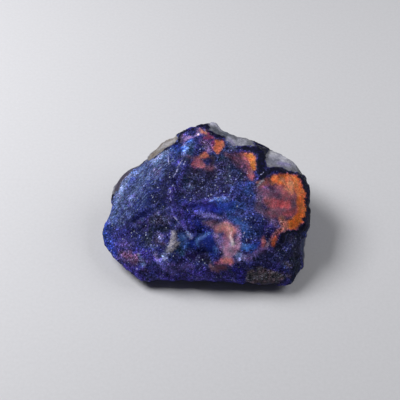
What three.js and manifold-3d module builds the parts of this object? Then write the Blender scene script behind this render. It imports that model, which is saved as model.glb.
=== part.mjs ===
// Afghanite specimen: one broken lump, about 32 mm across. A blue and violet crystalline mass has grown
// through and over pale marble, which shows along the back and under the left shoulder.
// Units are millimetres and +Z is up. The origin is the middle of the lump's bounding box, on its base.
import * as THREE from "three";
import { ConvexHull } from "three/addons/math/ConvexHull.js";
import { ImprovedNoise } from "three/addons/math/ImprovedNoise.js";
import { TessellateModifier } from "three/addons/modifiers/TessellateModifier.js";
import { mergeVertices } from "three/addons/utils/BufferGeometryUtils.js";
import Module from "manifold-3d";

const FACE_TILT = THREE.MathUtils.degToRad(40); // the display face leans back this far from lying flat
const HEART_HEIGHT = 5.5; // the lump's heart stands this far above the surface it rests on
const LONGEST_EDGE = 1.2; // the skin is cut into triangles with no edge longer than this
const RELAX_PASSES = 2; // rounds of smoothing, which take the knife edge off the ridges
const RELAX_SHARE = 0.35;
const SCOOPS = [
  { size: 4.6, depth: 0.55 },
  { size: 2.6, depth: 0.3 },
];
const LUMPS = { size: 3.1, height: 0.3 };
const BASE_DEPTH = 0.35; // what is broken off flat underneath, so that the lump stands firm
const MEAN_SCOOP = 0.4; // a scoop's value on average, taken off so that scooping keeps the lump's size
const DEEPEST_SCOOP = 1; // the value at which a scoop's rim is cut off
const MOST_CUTS = 12; // rounds of cutting, enough to bring the longest edge of the cage under LONGEST_EDGE
const SAME_CORNER = 1e-3; // corners nearer than this are one
const CUTTER_SIDE = 60; // wider than the lump
const HASH = { steps: [127.1, 311.7, 74.7], salt: 191.3, scale: 43758.5453 };

// Points of the skin, feature by feature. On the display face each is [across, up, out]: across to the
// right, up the face, and out of the face, all from the lump's heart.
const displayFace = {
  crest: [
    [-2.2, 9.7, 1.0], [-2.9, 8.4, 2.1], [-3.6, 6.9, 3.1], [-4.3, 5.4, 4.0], [-4.8, 4.1, 4.6],
    [-5.3, 2.3, 5.3], [-5.5, 0.7, 5.9],
  ],
  leftWing: [
    [-6.2, 7.8, 1.3], [-7.7, 4.2, 3.1], [-8.6, 1.4, 4.2], [-10.8, 2.2, 2.4], [-12.8, 0.3, 0.9],
    [-10.7, -1.2, 3.6],
  ],
  wingLip: [[-6.4, -0.7, 5.9], [-8.6, -1.5, 4.9], [-10.9, -2.5, 3.7], [-13.2, -2.9, 1.8]],
  wingFoot: [[-6.9, -1.9, 5.7], [-9.0, -2.7, 4.5], [-11.3, -3.7, 3.4]],
  crestHollow: [[-2.3, 6.7, 2.5], [-2.9, 4.6, 3.5], [-3.4, 2.5, 4.5], [-0.5, 6.0, 2.9]],
  summit: [[0.2, 9.6, 1.4], [2.5, 8.7, 1.4], [3.9, 6.5, 2.4]],
  middleFlat: [[0.6, 3.9, 4.3], [4.6, 3.1, 4.8], [-1.2, 1.6, 5.2], [2.2, 2.3, 5.3]],
  ledge: [[3.2, 1.2, 6.1], [1.0, 0.5, 6.1], [-1.0, 0.1, 6.0], [-3.0, 0.0, 5.9]],
  ledgeFoot: [[3.8, -1.6, 6.6], [1.7, -2.1, 6.2], [-0.2, -1.7, 6.1], [-2.2, -1.2, 6.0]],
  middleLobe: [[5.6, 6.8, 2.2], [7.3, 7.3, 2.1], [8.8, 7.7, 1.4], [7.5, 3.8, 4.0], [9.0, 4.2, 3.4]],
  rightLobe: [
    [11.2, 4.9, 2.7], [14.0, 3.7, 1.9], [11.3, 1.1, 5.2], [14.7, 0.0, 3.5], [14.1, -3.3, 4.7],
    [8.9, 1.4, 5.6],
  ],
  rightApron: [
    [6.2, 0.3, 6.2], [7.4, -2.2, 7.0], [10.2, -2.9, 6.7], [10.7, -5.8, 6.7], [7.9, -5.8, 7.3],
    [5.9, -4.6, 7.4],
  ],
  pinkRidge: [[3.8, -3.1, 7.2], [4.1, -5.4, 7.6], [4.4, -7.3, 7.5]],
  blueHollow: [
    [1.9, -4.2, 6.5], [-0.4, -3.9, 5.8], [-1.3, -5.6, 5.5], [0.6, -7.2, 5.9], [2.6, -6.3, 6.8],
  ],
  spur: [[-4.0, -2.7, 6.5], [-3.1, -4.6, 6.5], [-3.9, -6.7, 6.3]],
  lowerLeft: [[-7.4, -4.0, 5.3], [-10.6, -5.6, 4.4], [-13.3, -5.4, 2.6], [-8.3, -7.4, 5.8]],
  browLine: [
    [-12.6, -7.7, 3.9], [-9.8, -9.0, 5.4], [-6.1, -9.2, 6.4], [-2.8, -9.4, 6.6], [1.3, -9.8, 6.9],
  ],
  browRight: [
    [3.5, -8.8, 7.3], [6.1, -8.8, 7.3], [8.8, -7.7, 7.2], [8.4, -9.9, 6.9], [12.6, -7.7, 5.8],
    [11.9, -10.3, 5.9],
  ],
  topEdge: [
    [-0.4, 12.7, -1.9], [1.5, 13.0, -2.5], [2.7, 11.7, -2.1], [5.0, 10.9, -1.9], [7.4, 9.7, -1.2],
    [9.8, 8.7, -0.9],
  ],
  backShelf: [
    [4.9, 9.4, -0.2], [10.3, 7.0, 0.5], [11.7, 7.7, -1.7], [13.8, 6.7, -1.6], [13.0, 5.5, 0.3],
    [15.2, 5.1, -1.0],
  ],
  rightEdge: [
    [15.8, 3.2, 0.1], [16.0, 1.0, 1.2], [15.8, -1.7, 2.2], [15.8, -4.2, 3.0], [14.6, -6.2, 3.9],
    [14.3, -8.2, 4.1],
  ],
  rightFlank: [[15.2, -6.6, 2.2], [15.1, -8.6, 2.0], [14.5, -10.4, 2.6]],
  lowerRightEdge: [
    [13.7, -10.3, 4.3], [13.3, -11.9, 3.9], [11.6, -12.5, 4.5], [9.0, -12.6, 4.7],
    [6.0, -12.1, 4.7],
  ],
  lowerEdge: [
    [2.5, -11.8, 4.7], [-1.9, -11.7, 4.6], [-6.2, -11.9, 4.4], [-10.0, -11.8, 3.8],
    [-12.0, -10.3, 3.0],
  ],
  leftEdge: [
    [-13.8, -8.7, 2.3], [-15.6, -6.9, 1.5], [-16.4, -5.6, 0.8], [-16.4, -4.1, 0.3],
    [-15.6, -2.6, 0.0], [-14.7, -0.5, -0.4],
  ],
  upperLeftEdge: [
    [-14.9, 2.7, -2.3], [-13.5, 4.6, -2.1], [-11.7, 5.8, -1.6], [-9.8, 5.9, -1.0],
    [-9.2, 8.0, -2.2],
  ],
  shoulder: [[-7.5, 9.6, -2.1], [-5.2, 10.7, -1.9], [-3.7, 11.4, -1.5], [-2.1, 12.1, -1.2]],
};

// Points that the display face hides: the back and the underside. Each is [x, y, z], with z from the surface
// that the lump rests on.
const hiddenSide = {
  backBulge: [
    [-8.2, 7.0, 6.2], [-4.4, 9.6, 7.6], [-3.0, 10.8, 5.6], [2.0, 12.2, 7.4], [2.6, 12.0, 4.6],
    [8.0, 10.9, 6.6], [12.3, 7.9, 6.4],
  ],
  backFoot: [[-7.2, 7.8, 2.2], [-1.6, 9.4, 2.2], [5.4, 9.6, 1.6], [8.4, 10.0, 3.2], [11.8, 6.4, 2.4]],
  leftFoot: [
    [-12.8, 4.2, 4.2], [-12.2, 1.0, 1.2], [-14.0, -3.8, 1.2], [-10.4, 5.0, 1.8], [-13.6, 0.2, 3.0],
  ],
  rightFoot: [[14.6, 3.0, 3.4], [13.9, -1.9, 1.6], [13.2, -5.4, 0.9]],
  sole: [
    [-8.5, -4.5, -0.2], [-8.0, 3.6, -0.3], [-2.0, 6.4, -0.4], [0.5, -8.0, -0.2], [5.2, 6.0, -0.3],
    [9.8, -4.6, -0.3], [10.0, 1.8, -0.3], [0.8, 0.0, -0.5],
  ],
  frontUndercut: [[-7.5, -9.6, 0.5], [8.0, -10.8, 0.4]],
};

// The skin's points from the heart, with the display face leant back.
function skinPoints() {
  const lean = new THREE.Matrix4().makeRotationX(FACE_TILT);
  const onFace = Object.values(displayFace).flat();
  const hidden = Object.values(hiddenSide).flat();
  return [
    ...onFace.map((p) => new THREE.Vector3(...p).applyMatrix4(lean)),
    ...hidden.map(([x, y, z]) => new THREE.Vector3(x, y, z - HEART_HEIGHT)),
  ];
}

// Joins the points into one closed skin of flat breaks. Neighbours are found by their direction from
// the heart.
function cage(points) {
  const directions = points.map((p) => p.clone().normalize());
  const placeOf = new Map(directions.map((d, i) => [d, i]));
  const hull = new ConvexHull().setFromPoints(directions);
  const corners = hull.faces.flatMap(({ edge }) =>
    [edge, edge.next, edge.prev].map((e) => points[placeOf.get(e.head().point)]),
  );
  return new THREE.BufferGeometry().setFromPoints(corners);
}

// Cuts the flat breaks into small triangles that share their corners.
function divided(geometry) {
  const cut = new TessellateModifier(LONGEST_EDGE, MOST_CUTS).modify(geometry);
  for (const name of ["normal", "uv"]) cut.deleteAttribute(name);
  return mergeVertices(cut, SAME_CORNER);
}

// The corners that each corner is joined to.
function neighbours(geometry) {
  const found = Array.from({ length: geometry.attributes.position.count }, () => new Set());
  const { array } = geometry.index;
  for (let i = 0; i < array.length; i += 3) {
    for (let k = 0; k < 3; k++) {
      found[array[i + k]].add(array[i + ((k + 1) % 3)]);
      found[array[i + ((k + 1) % 3)]].add(array[i + k]);
    }
  }
  return found;
}

// Moves each corner part of the way to the middle of its neighbours.
function relax(geometry, share) {
  const position = geometry.attributes.position;
  const before = position.clone();
  const here = new THREE.Vector3();
  const middle = new THREE.Vector3();
  const other = new THREE.Vector3();
  neighbours(geometry).forEach((around, i) => {
    middle.set(0, 0, 0);
    for (const j of around) middle.add(other.fromBufferAttribute(before, j));
    here.fromBufferAttribute(before, i).lerp(middle.divideScalar(around.size), share);
    position.setXYZ(i, here.x, here.y, here.z);
  });
}

// A repeatable number from 0 to 1 for one cell of a grid.
function cellRandom(x, y, z, salt) {
  const [stepX, stepY, stepZ] = HASH.steps;
  const n = Math.sin(stepX * x + stepY * y + stepZ * z + HASH.salt * salt) * HASH.scale;
  return n - Math.floor(n);
}

// The squared distance from a point to the nearest of the seeds scattered one to a cell: shallow bowls that
// meet in sharp ridges, as the scoops of a shelly break do.
function scoop(at) {
  const cell = at.clone().floor();
  let nearest = Infinity;
  for (let x = cell.x - 1; x <= cell.x + 1; x++) {
    for (let y = cell.y - 1; y <= cell.y + 1; y++) {
      for (let z = cell.z - 1; z <= cell.z + 1; z++) {
        const [dx, dy, dz] = [x, y, z].map((c, k) => c + cellRandom(x, y, z, k));
        nearest = Math.min(nearest, (at.x - dx) ** 2 + (at.y - dy) ** 2 + (at.z - dz) ** 2);
      }
    }
  }
  return Math.min(nearest, DEEPEST_SCOOP);
}

// Breaks the skin into scoops and roughens it with lumps, along its normals.
function roughen(geometry) {
  geometry.computeVertexNormals();
  const noise = new ImprovedNoise();
  const { position, normal } = geometry.attributes;
  const here = new THREE.Vector3();
  const out = new THREE.Vector3();
  for (let i = 0; i < position.count; i++) {
    here.fromBufferAttribute(position, i);
    out.fromBufferAttribute(normal, i);
    const at = here.clone().divideScalar(LUMPS.size);
    let rise = LUMPS.height * noise.noise(at.x, at.y, at.z);
    for (const { size, depth } of SCOOPS) {
      rise += depth * (scoop(here.clone().divideScalar(size)) - MEAN_SCOOP);
    }
    here.addScaledVector(out, rise);
    position.setXYZ(i, here.x, here.y, here.z);
  }
  geometry.deleteAttribute("normal");
}

const wasm = await Module();
wasm.setup();

// A closed, merged geometry as a solid.
function solidOf(geometry) {
  return new wasm.Manifold(
    new wasm.Mesh({
      numProp: 3,
      vertProperties: new Float32Array(geometry.attributes.position.array),
      triVerts: new Uint32Array(geometry.index.array),
    }),
  );
}

// A solid as a geometry.
function geometryOf(solid) {
  const mesh = solid.getMesh();
  return new THREE.BufferGeometry()
    .setAttribute("position", new THREE.BufferAttribute(mesh.vertProperties, 3))
    .setIndex(new THREE.BufferAttribute(mesh.triVerts, 1));
}

// Breaks the underside off flat at height z.
function standOn(geometry, z) {
  const below = new THREE.BoxGeometry(CUTTER_SIDE, CUTTER_SIDE, CUTTER_SIDE);
  below.translate(0, 0, z - CUTTER_SIDE / 2);
  for (const name of ["normal", "uv"]) below.deleteAttribute(name);
  return geometryOf(solidOf(geometry).subtract(solidOf(mergeVertices(below))));
}

// Where the heart comes to lie when the origin is the middle of the bounding box's foot.
function heartPlace(geometry) {
  geometry.computeBoundingBox();
  const { min, max } = geometry.boundingBox;
  return new THREE.Vector3(-(min.x + max.x) / 2, -(min.y + max.y) / 2, -min.z);
}

const skin = divided(cage(skinPoints()));
for (let pass = 0; pass < RELAX_PASSES; pass++) relax(skin, RELAX_SHARE);
roughen(skin);
skin.computeBoundingBox();

const stone = new THREE.Mesh(
  standOn(skin, skin.boundingBox.min.z + BASE_DEPTH),
  new THREE.MeshStandardMaterial({ color: "#27306f", roughness: 0.55, metalness: 0 }),
);
stone.name = "afghanite_stone";
stone.position.copy(heartPlace(stone.geometry));

const specimen = new THREE.Group();
specimen.add(stone);
export default specimen;
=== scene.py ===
"""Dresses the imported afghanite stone: its fine relief, its colours, and the plain studio it is shown in.

The stone is one broken lump. A blue and violet crust of crystals has grown over pale marble, with orange
patches that dark rims border. The marks are laid out on the display face, which leans back from the floor:
`across` runs to the right, `up` runs up the face and `out` comes out of it, all in millimetres from the
lump's heart. Whatever the face hides gets the same finishes from patterns in space.
"""

from __future__ import annotations

import itertools
import logging
import math
from dataclasses import dataclass, field
from enum import Enum, IntEnum

import bmesh
import bpy
import numpy as np
from mathutils import Matrix, Vector


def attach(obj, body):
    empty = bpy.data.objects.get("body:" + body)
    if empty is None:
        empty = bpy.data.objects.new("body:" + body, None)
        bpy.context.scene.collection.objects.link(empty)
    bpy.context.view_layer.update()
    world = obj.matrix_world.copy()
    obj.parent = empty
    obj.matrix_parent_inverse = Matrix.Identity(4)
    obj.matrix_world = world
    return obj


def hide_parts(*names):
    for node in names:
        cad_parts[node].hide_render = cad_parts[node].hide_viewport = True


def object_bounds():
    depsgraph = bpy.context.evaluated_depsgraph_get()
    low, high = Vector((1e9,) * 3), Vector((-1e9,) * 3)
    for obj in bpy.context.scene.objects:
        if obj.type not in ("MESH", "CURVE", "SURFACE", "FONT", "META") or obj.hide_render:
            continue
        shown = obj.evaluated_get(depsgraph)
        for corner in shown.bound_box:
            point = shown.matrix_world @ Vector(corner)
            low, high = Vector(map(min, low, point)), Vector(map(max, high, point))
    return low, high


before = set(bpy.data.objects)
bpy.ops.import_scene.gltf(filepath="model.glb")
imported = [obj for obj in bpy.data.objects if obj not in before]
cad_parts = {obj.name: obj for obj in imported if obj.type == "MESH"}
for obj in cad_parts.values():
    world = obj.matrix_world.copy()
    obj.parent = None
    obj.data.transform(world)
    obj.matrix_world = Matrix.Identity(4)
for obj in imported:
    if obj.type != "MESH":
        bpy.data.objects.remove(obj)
CAD_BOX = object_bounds()

MM = 0.001
LOG = logging.getLogger("afghanite")
FACE_LEAN = math.radians(40)  # the display face leans back this far from lying flat
HEART_HEIGHT = 5.86  # mm above the floor
SEEN_FROM = 146.4  # mm from the heart: the marks line up when seen from here
FACE_OUT = (0.0, -math.sin(FACE_LEAN), math.cos(FACE_LEAN))  # the way that the display face looks
PAST_EDGE = 0.05  # how far the face's marks reach round to where it turns away
EDGE_FADE = 0.2  # how softly they end there
PATCH_BLUR = 0.9  # mm over which the smooth and the sugary patches fade
CELL_PRIMES = np.array([73856093, 19349663, 83492791])
SALT_PRIME = 2654435761
MIX_PRIME = 1274126177
LOW_BITS = 0xFFFFFF
LEAST = 1e-9  # keeps a stroke of one point from dividing by nothing
COLOUR_MIX = (0, 6, 7)  # the inputs of a colour Mix node: amount, under and over

Socket = bpy.types.NodeSocket
Pair = tuple[float, float]
Triple = tuple[float, float, float]
Colour = tuple[float, float, float, float]


class Salt(IntEnum):
    """What each of the stone's random patterns starts from."""

    LUMPS = 11
    LOBES = 31
    LOBE_EDGES = 37
    ISLANDS = 41
    PUSH = 43
    DRIFT = 51
    CLOUD = 53
    TONE = 57
    GROUND = 61
    MARKS = 71
    RIM = 79
    SCOOPS = 100
    BACKS = 140
    GROUND_SHIFTED = 161


GROUNDS = {"ground": Salt.GROUND, "ground_shifted": Salt.GROUND_SHIFTED}  # the crust's two lays of colour


def cell_random(cells: np.ndarray, salt: int) -> np.ndarray:
    """Gives every cell of a grid its own repeatable number.

    Args:
        cells: Whole-numbered cell places, one row each.
        salt: Picks one of many independent sets of numbers.

    Returns:
        A number from 0 to 1 for each row.
    """
    mixed = cells.astype(np.int64) @ CELL_PRIMES + salt * SALT_PRIME
    mixed = (mixed ^ (mixed >> 13)) * MIX_PRIME
    mixed = mixed ^ (mixed >> 16)
    return (mixed & LOW_BITS) / LOW_BITS


def swell(points: np.ndarray, size: float, salt: int, octaves: int = 3) -> np.ndarray:
    """Smooth lumps with finer lumps upon them.

    Args:
        points: Places in mm, one row each.
        size: Width of the largest lumps in mm.
        salt: Picks one of many independent patterns.
        octaves: How many sizes of lump there are, each half the last.

    Returns:
        A height from about -1 to 1 for each place.
    """
    total = np.zeros(len(points))
    share, whole = 1.0, 0.0
    for octave in range(octaves):
        scaled = points / size * 2**octave
        base = np.floor(scaled)
        fade = scaled - base
        fade = fade * fade * (3 - 2 * fade)
        for corner in itertools.product((0, 1), repeat=3):
            weight = np.prod(np.where(np.array(corner) == 1, fade, 1 - fade), axis=1)
            total += share * weight * (2 * cell_random(base + corner, salt + octave) - 1)
        whole += share
        share /= 2
    return total / whole


def bowls(points: np.ndarray, size: float, tilt: float, salt: int) -> np.ndarray:
    """Shallow tilted bowls that meet in sharp ridges, as the scoops of a shelly break do.

    Args:
        points: Places in mm, one row each.
        size: Width of a bowl in mm.
        tilt: How far the bowls lean, from 0 for level ones.
        salt: Picks one of many independent patterns.

    Returns:
        A height for each place, about 0 on average.
    """
    scaled = points / size
    home = np.floor(scaled)
    lowest = np.full(len(points), np.inf)
    for step in itertools.product((-1, 0, 1), repeat=3):
        cell = home + step
        spread = np.stack([cell_random(cell, salt + k) for k in range(6)], axis=1)
        gap = scaled - cell - spread[:, :3]
        lean = 2 * spread[:, 3:] - 1
        lowest = np.minimum(lowest, (gap * gap).sum(1) + tilt * (gap * lean).sum(1))
    return lowest - np.mean(lowest)


def ease(value: np.ndarray) -> np.ndarray:
    """Clamps to 0 to 1 with soft ends."""
    held = np.clip(value, 0, 1)
    return held * held * (3 - 2 * held)


class Tint(Enum):
    """The crust's colours: mostly as they look in even light, and a few laid as painted highlight and shade.
    """

    INDIGO = "#202860"
    VIOLET = "#302868"
    SLATE = "#202848"
    WING = "#303868"
    # STEEL and STEEL_PALE are also laid as the painted highlight on the wing's upper-left edge
    STEEL = "#506090"
    STEEL_PALE = "#8898c8"
    MAUVE_GREY = "#504870"
    NIGHT = "#101038"
    SOOT = "#302830"
    CREST_BLUE = "#182060"
    CREST_VIOLET = "#403890"
    TEAL_BLUE = "#205090"
    # painted shade: the dark of creases and of the fold under the wing's lip
    FOLD_SHADE = "#101850"
    SUGAR = "#202040"
    SUGAR_GREY = "#505878"
    TEAL_DARK = "#183048"
    APRON = "#283068"
    APRON_GREY = "#404070"
    APRON_BLUE = "#304888"
    ROYAL = "#3048a8"
    ROYAL_DARK = "#202890"
    SKY = "#6078c0"
    LILAC = "#6860b8"
    LILAC_WHITE = "#a8a8e0"
    SPUR = "#303088"
    DEEP = "#182878"
    BRIGHT_BLUE = "#4060a8"
    # ICE is also laid as a painted glint at the lower left
    ICE = "#a8b8f0"
    TEAL_PALE = "#6888c8"
    AZURE = "#4870c0"
    AZURE_DEEP = "#2850a8"
    PERIWINKLE = "#6070e0"
    MIST = "#9890c8"
    HAZE = "#7880b8"
    DUSK_LILAC = "#605088"
    MEADOW = "#282868"
    MEADOW_DUSK = "#483870"
    EDGE_BLUE = "#283888"
    CHARCOAL = "#101828"
    ASHEN = "#404060"
    ROSE_GREY = "#785880"
    BROW = "#383080"
    BROW_DUSK = "#504888"
    PLUM = "#181038"
    INK = "#302888"
    ASH = "#585050"
    ASH_DARK = "#383030"
    NAVY = "#282850"
    NAVY_DARK = "#202038"


class Glow(Enum):
    """The colours of the orange, rose and salmon patches, with the orange glow that they give off painted
    in.
    """

    LOBE = "#d87038"
    BRIGHT = "#f09058"
    SHOULDER = "#e89068"
    RIGHT = "#d06830"
    LOW = "#d87028"
    TAN = "#a08070"
    TAIL = "#b85838"
    TAIL_HAZE = "#b07060"
    ROSE = "#a85058"
    ROSE_SOFT = "#985860"
    ROSE_BRIGHT = "#c86060"
    ROSE_DARK = "#704858"
    MAUVE = "#684860"
    MAUVE_DARK = "#482840"
    BAR = "#d07838"
    BAR_BROWN = "#503030"
    BAR_DUSK = "#583848"
    EMBER = "#b06040"
    BLOB_PINK = "#c07058"
    BLOB_BROWN = "#804838"
    PEACH = "#b86850"
    RED = "#884858"
    RED_LILAC = "#906080"
    SALMON = "#b07878"
    SALMON_BRIGHT = "#c88878"
    SALMON_DUSK = "#785870"
    SALMON_WHITE = "#f0d0d8"
    SALMON_LILAC = "#9878a0"
    PINK_LILAC = "#b890b0"
    SALMON_LOW = "#c87878"
    BROWN_PALE = "#806070"
    DUSK = "#584860"
    LILAC_FADE = "#7868a0"
    LILAC_PINK = "#a888c0"
    WINE = "#783050"
    PURPLE = "#604878"
    SPECK = "#482020"


class Stain(Enum):
    """The marble's colours."""

    GREY = "#787880"
    BLUE = "#505868"
    LILAC = "#8880b0"
    GREEN = "#606860"
    YELLOW = "#807870"
    ROSY = "#786860"
    UMBER = "#403848"
    # the marble on the right flank: its own bluish grey, darkened with painted shade
    FLANK = "#303858"
    PALE = "#a8a8b8"
    WHITE = "#c0c0c8"


def linear(tint: str) -> np.ndarray:
    """Turns a colour as seen on screen, such as "#202860", into linear light."""
    screen = np.array([int(tint[i : i + 2], 16) / 255 for i in (1, 3, 5)])
    return np.where(screen <= 0.04045, screen / 12.92, ((screen + 0.055) / 1.055) ** 2.4)


@dataclass(frozen=True)
class Stroke:
    """A round-ended band on the display face, given by its points as (across, up, half width) in mm."""

    points: tuple[Triple, ...]

    def depth(self, seen: np.ndarray) -> np.ndarray:
        """How far inside the band each place is.

        Args:
            seen: Places as (across, up) in mm, one row each.

        Returns:
            The distance in mm to the band's edge, positive inside it.
        """
        deepest = np.full(len(seen), -np.inf)
        path = np.array(self.points)
        for start, end in zip(path, path[1:] if len(path) > 1 else path):
            run = end - start
            length = max(float(run[:2] @ run[:2]), LEAST)
            share = np.clip((seen - start[:2]) @ run[:2] / length, 0, 1)
            nearest = start + share[:, None] * run
            gap = np.linalg.norm(seen - nearest[:, :2], axis=1)
            deepest = np.maximum(deepest, nearest[:, 2] - gap)
        return deepest


@dataclass(frozen=True)
class Wash:
    """A soft area of one tint on the display face."""

    tint: Tint | Glow | Stain
    stroke: Stroke
    strength: float
    blur: float  # mm over which it fades

    def cover(self, seen: np.ndarray) -> np.ndarray:
        """How much of each place the wash covers, from 0 to its strength."""
        return self.strength * ease(self.stroke.depth(seen) / self.blur + 0.5)


def wash(tint: Tint | Glow | Stain, strength: float, blur: float, *points: Triple) -> Wash:
    """A wash along points given as (across, up, half width) in mm."""
    return Wash(tint, Stroke(points), strength, blur)


def band(*points: Triple) -> Stroke:
    """A stroke along points given as (across, up, half width) in mm."""
    return Stroke(points)


def line(*points: Pair) -> Stroke:
    """A stroke of no width along points given as (across, up) in mm."""
    return Stroke(tuple((*point, 0.0) for point in points))


@dataclass(frozen=True)
class Ridge:
    """A raised line on the display face: sharp on top, or a groove where its height is below 0."""

    stroke: Stroke
    height: float  # mm
    width: float  # mm from its line to its foot


class Mark(Enum):
    """The marks with firm edges. Each is an attribute of the mesh: how far inside it a place is, in mm."""

    RIM = "rim"
    MARBLE = "marble"
    THREAD_AND_HIGHLIGHT = "thread_and_highlight"
    CRUMB = "crumb"


# Each wash has its tint, its strength, the mm over which it fades, and its points.
WING_WASHES = (
    wash(Tint.WING, 0.9, 0.8, (-5.8, 7.4, 1.5), (-7.8, 5.6, 2.0), (-10.3, 3.4, 2.4), (-12.0, 1.0, 2.4),
         (-13.2, -1.4, 2.0)),
    wash(Tint.STEEL, 0.9, 0.9, (-5.6, 8.5, 0.3), (-6.6, 7.6, 0.6), (-7.8, 6.6, 0.6)),
    wash(Tint.STEEL, 0.7, 1.0, (-9.4, 5.4, 0.3), (-10.6, 4.8, 0.5), (-11.8, 4.4, 0.5)),
    wash(Tint.INDIGO, 0.6, 1.0, (-7.2, 4.4, 0.4), (-8.6, 3.6, 0.6), (-9.4, 2.4, 0.5)),
    # painted highlight: the pale steel along the wing's upper-left edge, where the light falls
    wash(Tint.STEEL, 0.95, 1.0, (-11.8, 4.0, 0.5), (-12.9, 2.6, 0.8), (-13.6, 0.8, 0.6), (-13.9, -0.4, 0.3)),
    wash(Tint.STEEL_PALE, 0.75, 0.6, (-11.9, 4.0, 0.15), (-12.7, 2.9, 0.25), (-13.4, 1.4, 0.2)),
    wash(Tint.EDGE_BLUE, 0.7, 0.7, (-11.3, 3.7, 0.3), (-11.7, 3.1, 0.3)),
    wash(Tint.STEEL_PALE, 0.6, 0.4, (-10.0, 4.6, 0.05), (-11.2, 4.2, 0.1)),
    wash(Tint.STEEL_PALE, 0.7, 0.5, (-6.2, 8.1, 0.1), (-7.0, 7.4, 0.2), (-7.8, 6.7, 0.25)),
    wash(Tint.STEEL, 0.7, 0.6, (-7.9, 5.8, 0.1), (-8.9, 4.2, 0.2), (-10.2, 3.2, 0.25), (-11.4, 1.4, 0.25)),
    wash(Tint.MAUVE_GREY, 0.7, 0.9, (-6.9, 5.6, 0.3), (-7.6, 5.0, 0.5), (-8.0, 4.2, 0.3)),
    wash(Tint.INDIGO, 1.0, 1.2, (-7.6, 3.2, 0.8), (-8.4, 1.6, 1.2), (-9.2, 0.2, 1.3), (-11.0, -0.8, 0.6)),
    wash(Tint.FOLD_SHADE, 0.6, 0.9, (-8.0, 2.0, 0.4), (-8.8, 0.4, 0.6), (-8.6, -0.4, 0.3)),
    wash(Tint.NIGHT, 0.95, 0.9, (-5.7, 5.4, 0.4), (-6.0, 3.8, 0.6), (-6.4, 1.8, 0.8), (-6.9, 0.2, 0.7)),
    wash(Tint.NIGHT, 0.95, 0.6, (-5.4, 7.0, 0.3), (-5.5, 4.6, 0.5), (-5.0, 3.0, 0.4)),
    wash(Tint.NIGHT, 0.6, 0.8, (-8.2, 1.2, 0.4), (-8.0, -0.3, 0.4)),
    wash(Tint.NIGHT, 0.9, 0.9, (-7.8, 3.4, 0.2), (-7.9, 1.8, 0.3), (-7.6, 0.6, 0.5)),
    wash(Tint.NIGHT, 0.5, 0.6, (-10.4, 2.8, 0.1), (-11.6, 2.0, 0.15), (-12.0, 1.4, 0.1)),
    wash(Tint.LILAC, 0.85, 0.5, (-11.2, 1.2, 0.15), (-11.9, 0.2, 0.2)),
    wash(Tint.STEEL_PALE, 0.8, 0.3, (-11.3, 1.0, 0.04), (-11.8, 0.3, 0.08)),
    wash(Tint.CREST_BLUE, 0.9, 0.8, (-4.5, 9.2, 0.5), (-4.7, 7.9, 0.8), (-5.0, 6.4, 0.5)),
    wash(Tint.TEAL_BLUE, 0.3, 0.7, (-4.9, 8.5, 0.3), (-4.3, 8.0, 0.4)),
    wash(Tint.CREST_VIOLET, 0.6, 0.6, (-4.2, 6.8, 0.2), (-4.7, 6.2, 0.3)),
    wash(Tint.TEAL_DARK, 0.8, 0.6, (-2.1, 9.0, 0.3), (-2.6, 8.0, 0.5), (-3.0, 6.8, 0.3)),
    wash(Tint.AZURE_DEEP, 0.85, 0.4, (-2.1, 9.9, 0.15), (-2.8, 9.2, 0.3), (-3.5, 8.4, 0.3)),
    # painted highlight along the lit crest
    wash(Tint.TEAL_PALE, 0.85, 0.3, (-2.2, 9.5, 0.06), (-2.8, 8.8, 0.12), (-3.3, 8.2, 0.14),
         (-3.5, 7.6, 0.06)),
    wash(Tint.DEEP, 0.7, 0.5, (-4.7, 8.8, 0.3), (-4.4, 8.3, 0.3)),
    wash(Tint.NIGHT, 0.7, 0.5, (-5.0, 7.4, 0.15), (-5.2, 6.4, 0.25)),
    wash(Tint.LILAC_WHITE, 0.5, 0.4, (-3.3, 9.2, 0.06), (-3.5, 8.8, 0.1)),
    wash(Tint.EDGE_BLUE, 0.8, 0.8, (-14.2, -1.4, 0.8), (-15.0, -3.0, 0.9)),
    wash(Tint.STEEL, 0.8, 0.8, (-13.6, -1.0, 0.3), (-14.4, -2.0, 0.5), (-14.9, -3.4, 0.4)),
    # painted shade under the wing's overhanging lip
    wash(Tint.FOLD_SHADE, 0.95, 0.7, (-6.6, -0.2, 0.5), (-8.2, -1.0, 0.5), (-9.7, -1.7, 0.5), (-10.9, -2.4, 0.4)),
    wash(Tint.FOLD_SHADE, 0.7, 0.6, (-10.9, -2.3, 0.3), (-11.7, -2.9, 0.3), (-12.8, -3.2, 0.15)),
    wash(Tint.LILAC_WHITE, 0.5, 0.4, (-7.2, -1.6, 0.06), (-8.2, -2.0, 0.08)),
    wash(Tint.STEEL, 0.7, 0.4, (-9.9, -2.5, 0.15), (-9.6, -3.0, 0.12)),
)

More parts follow.
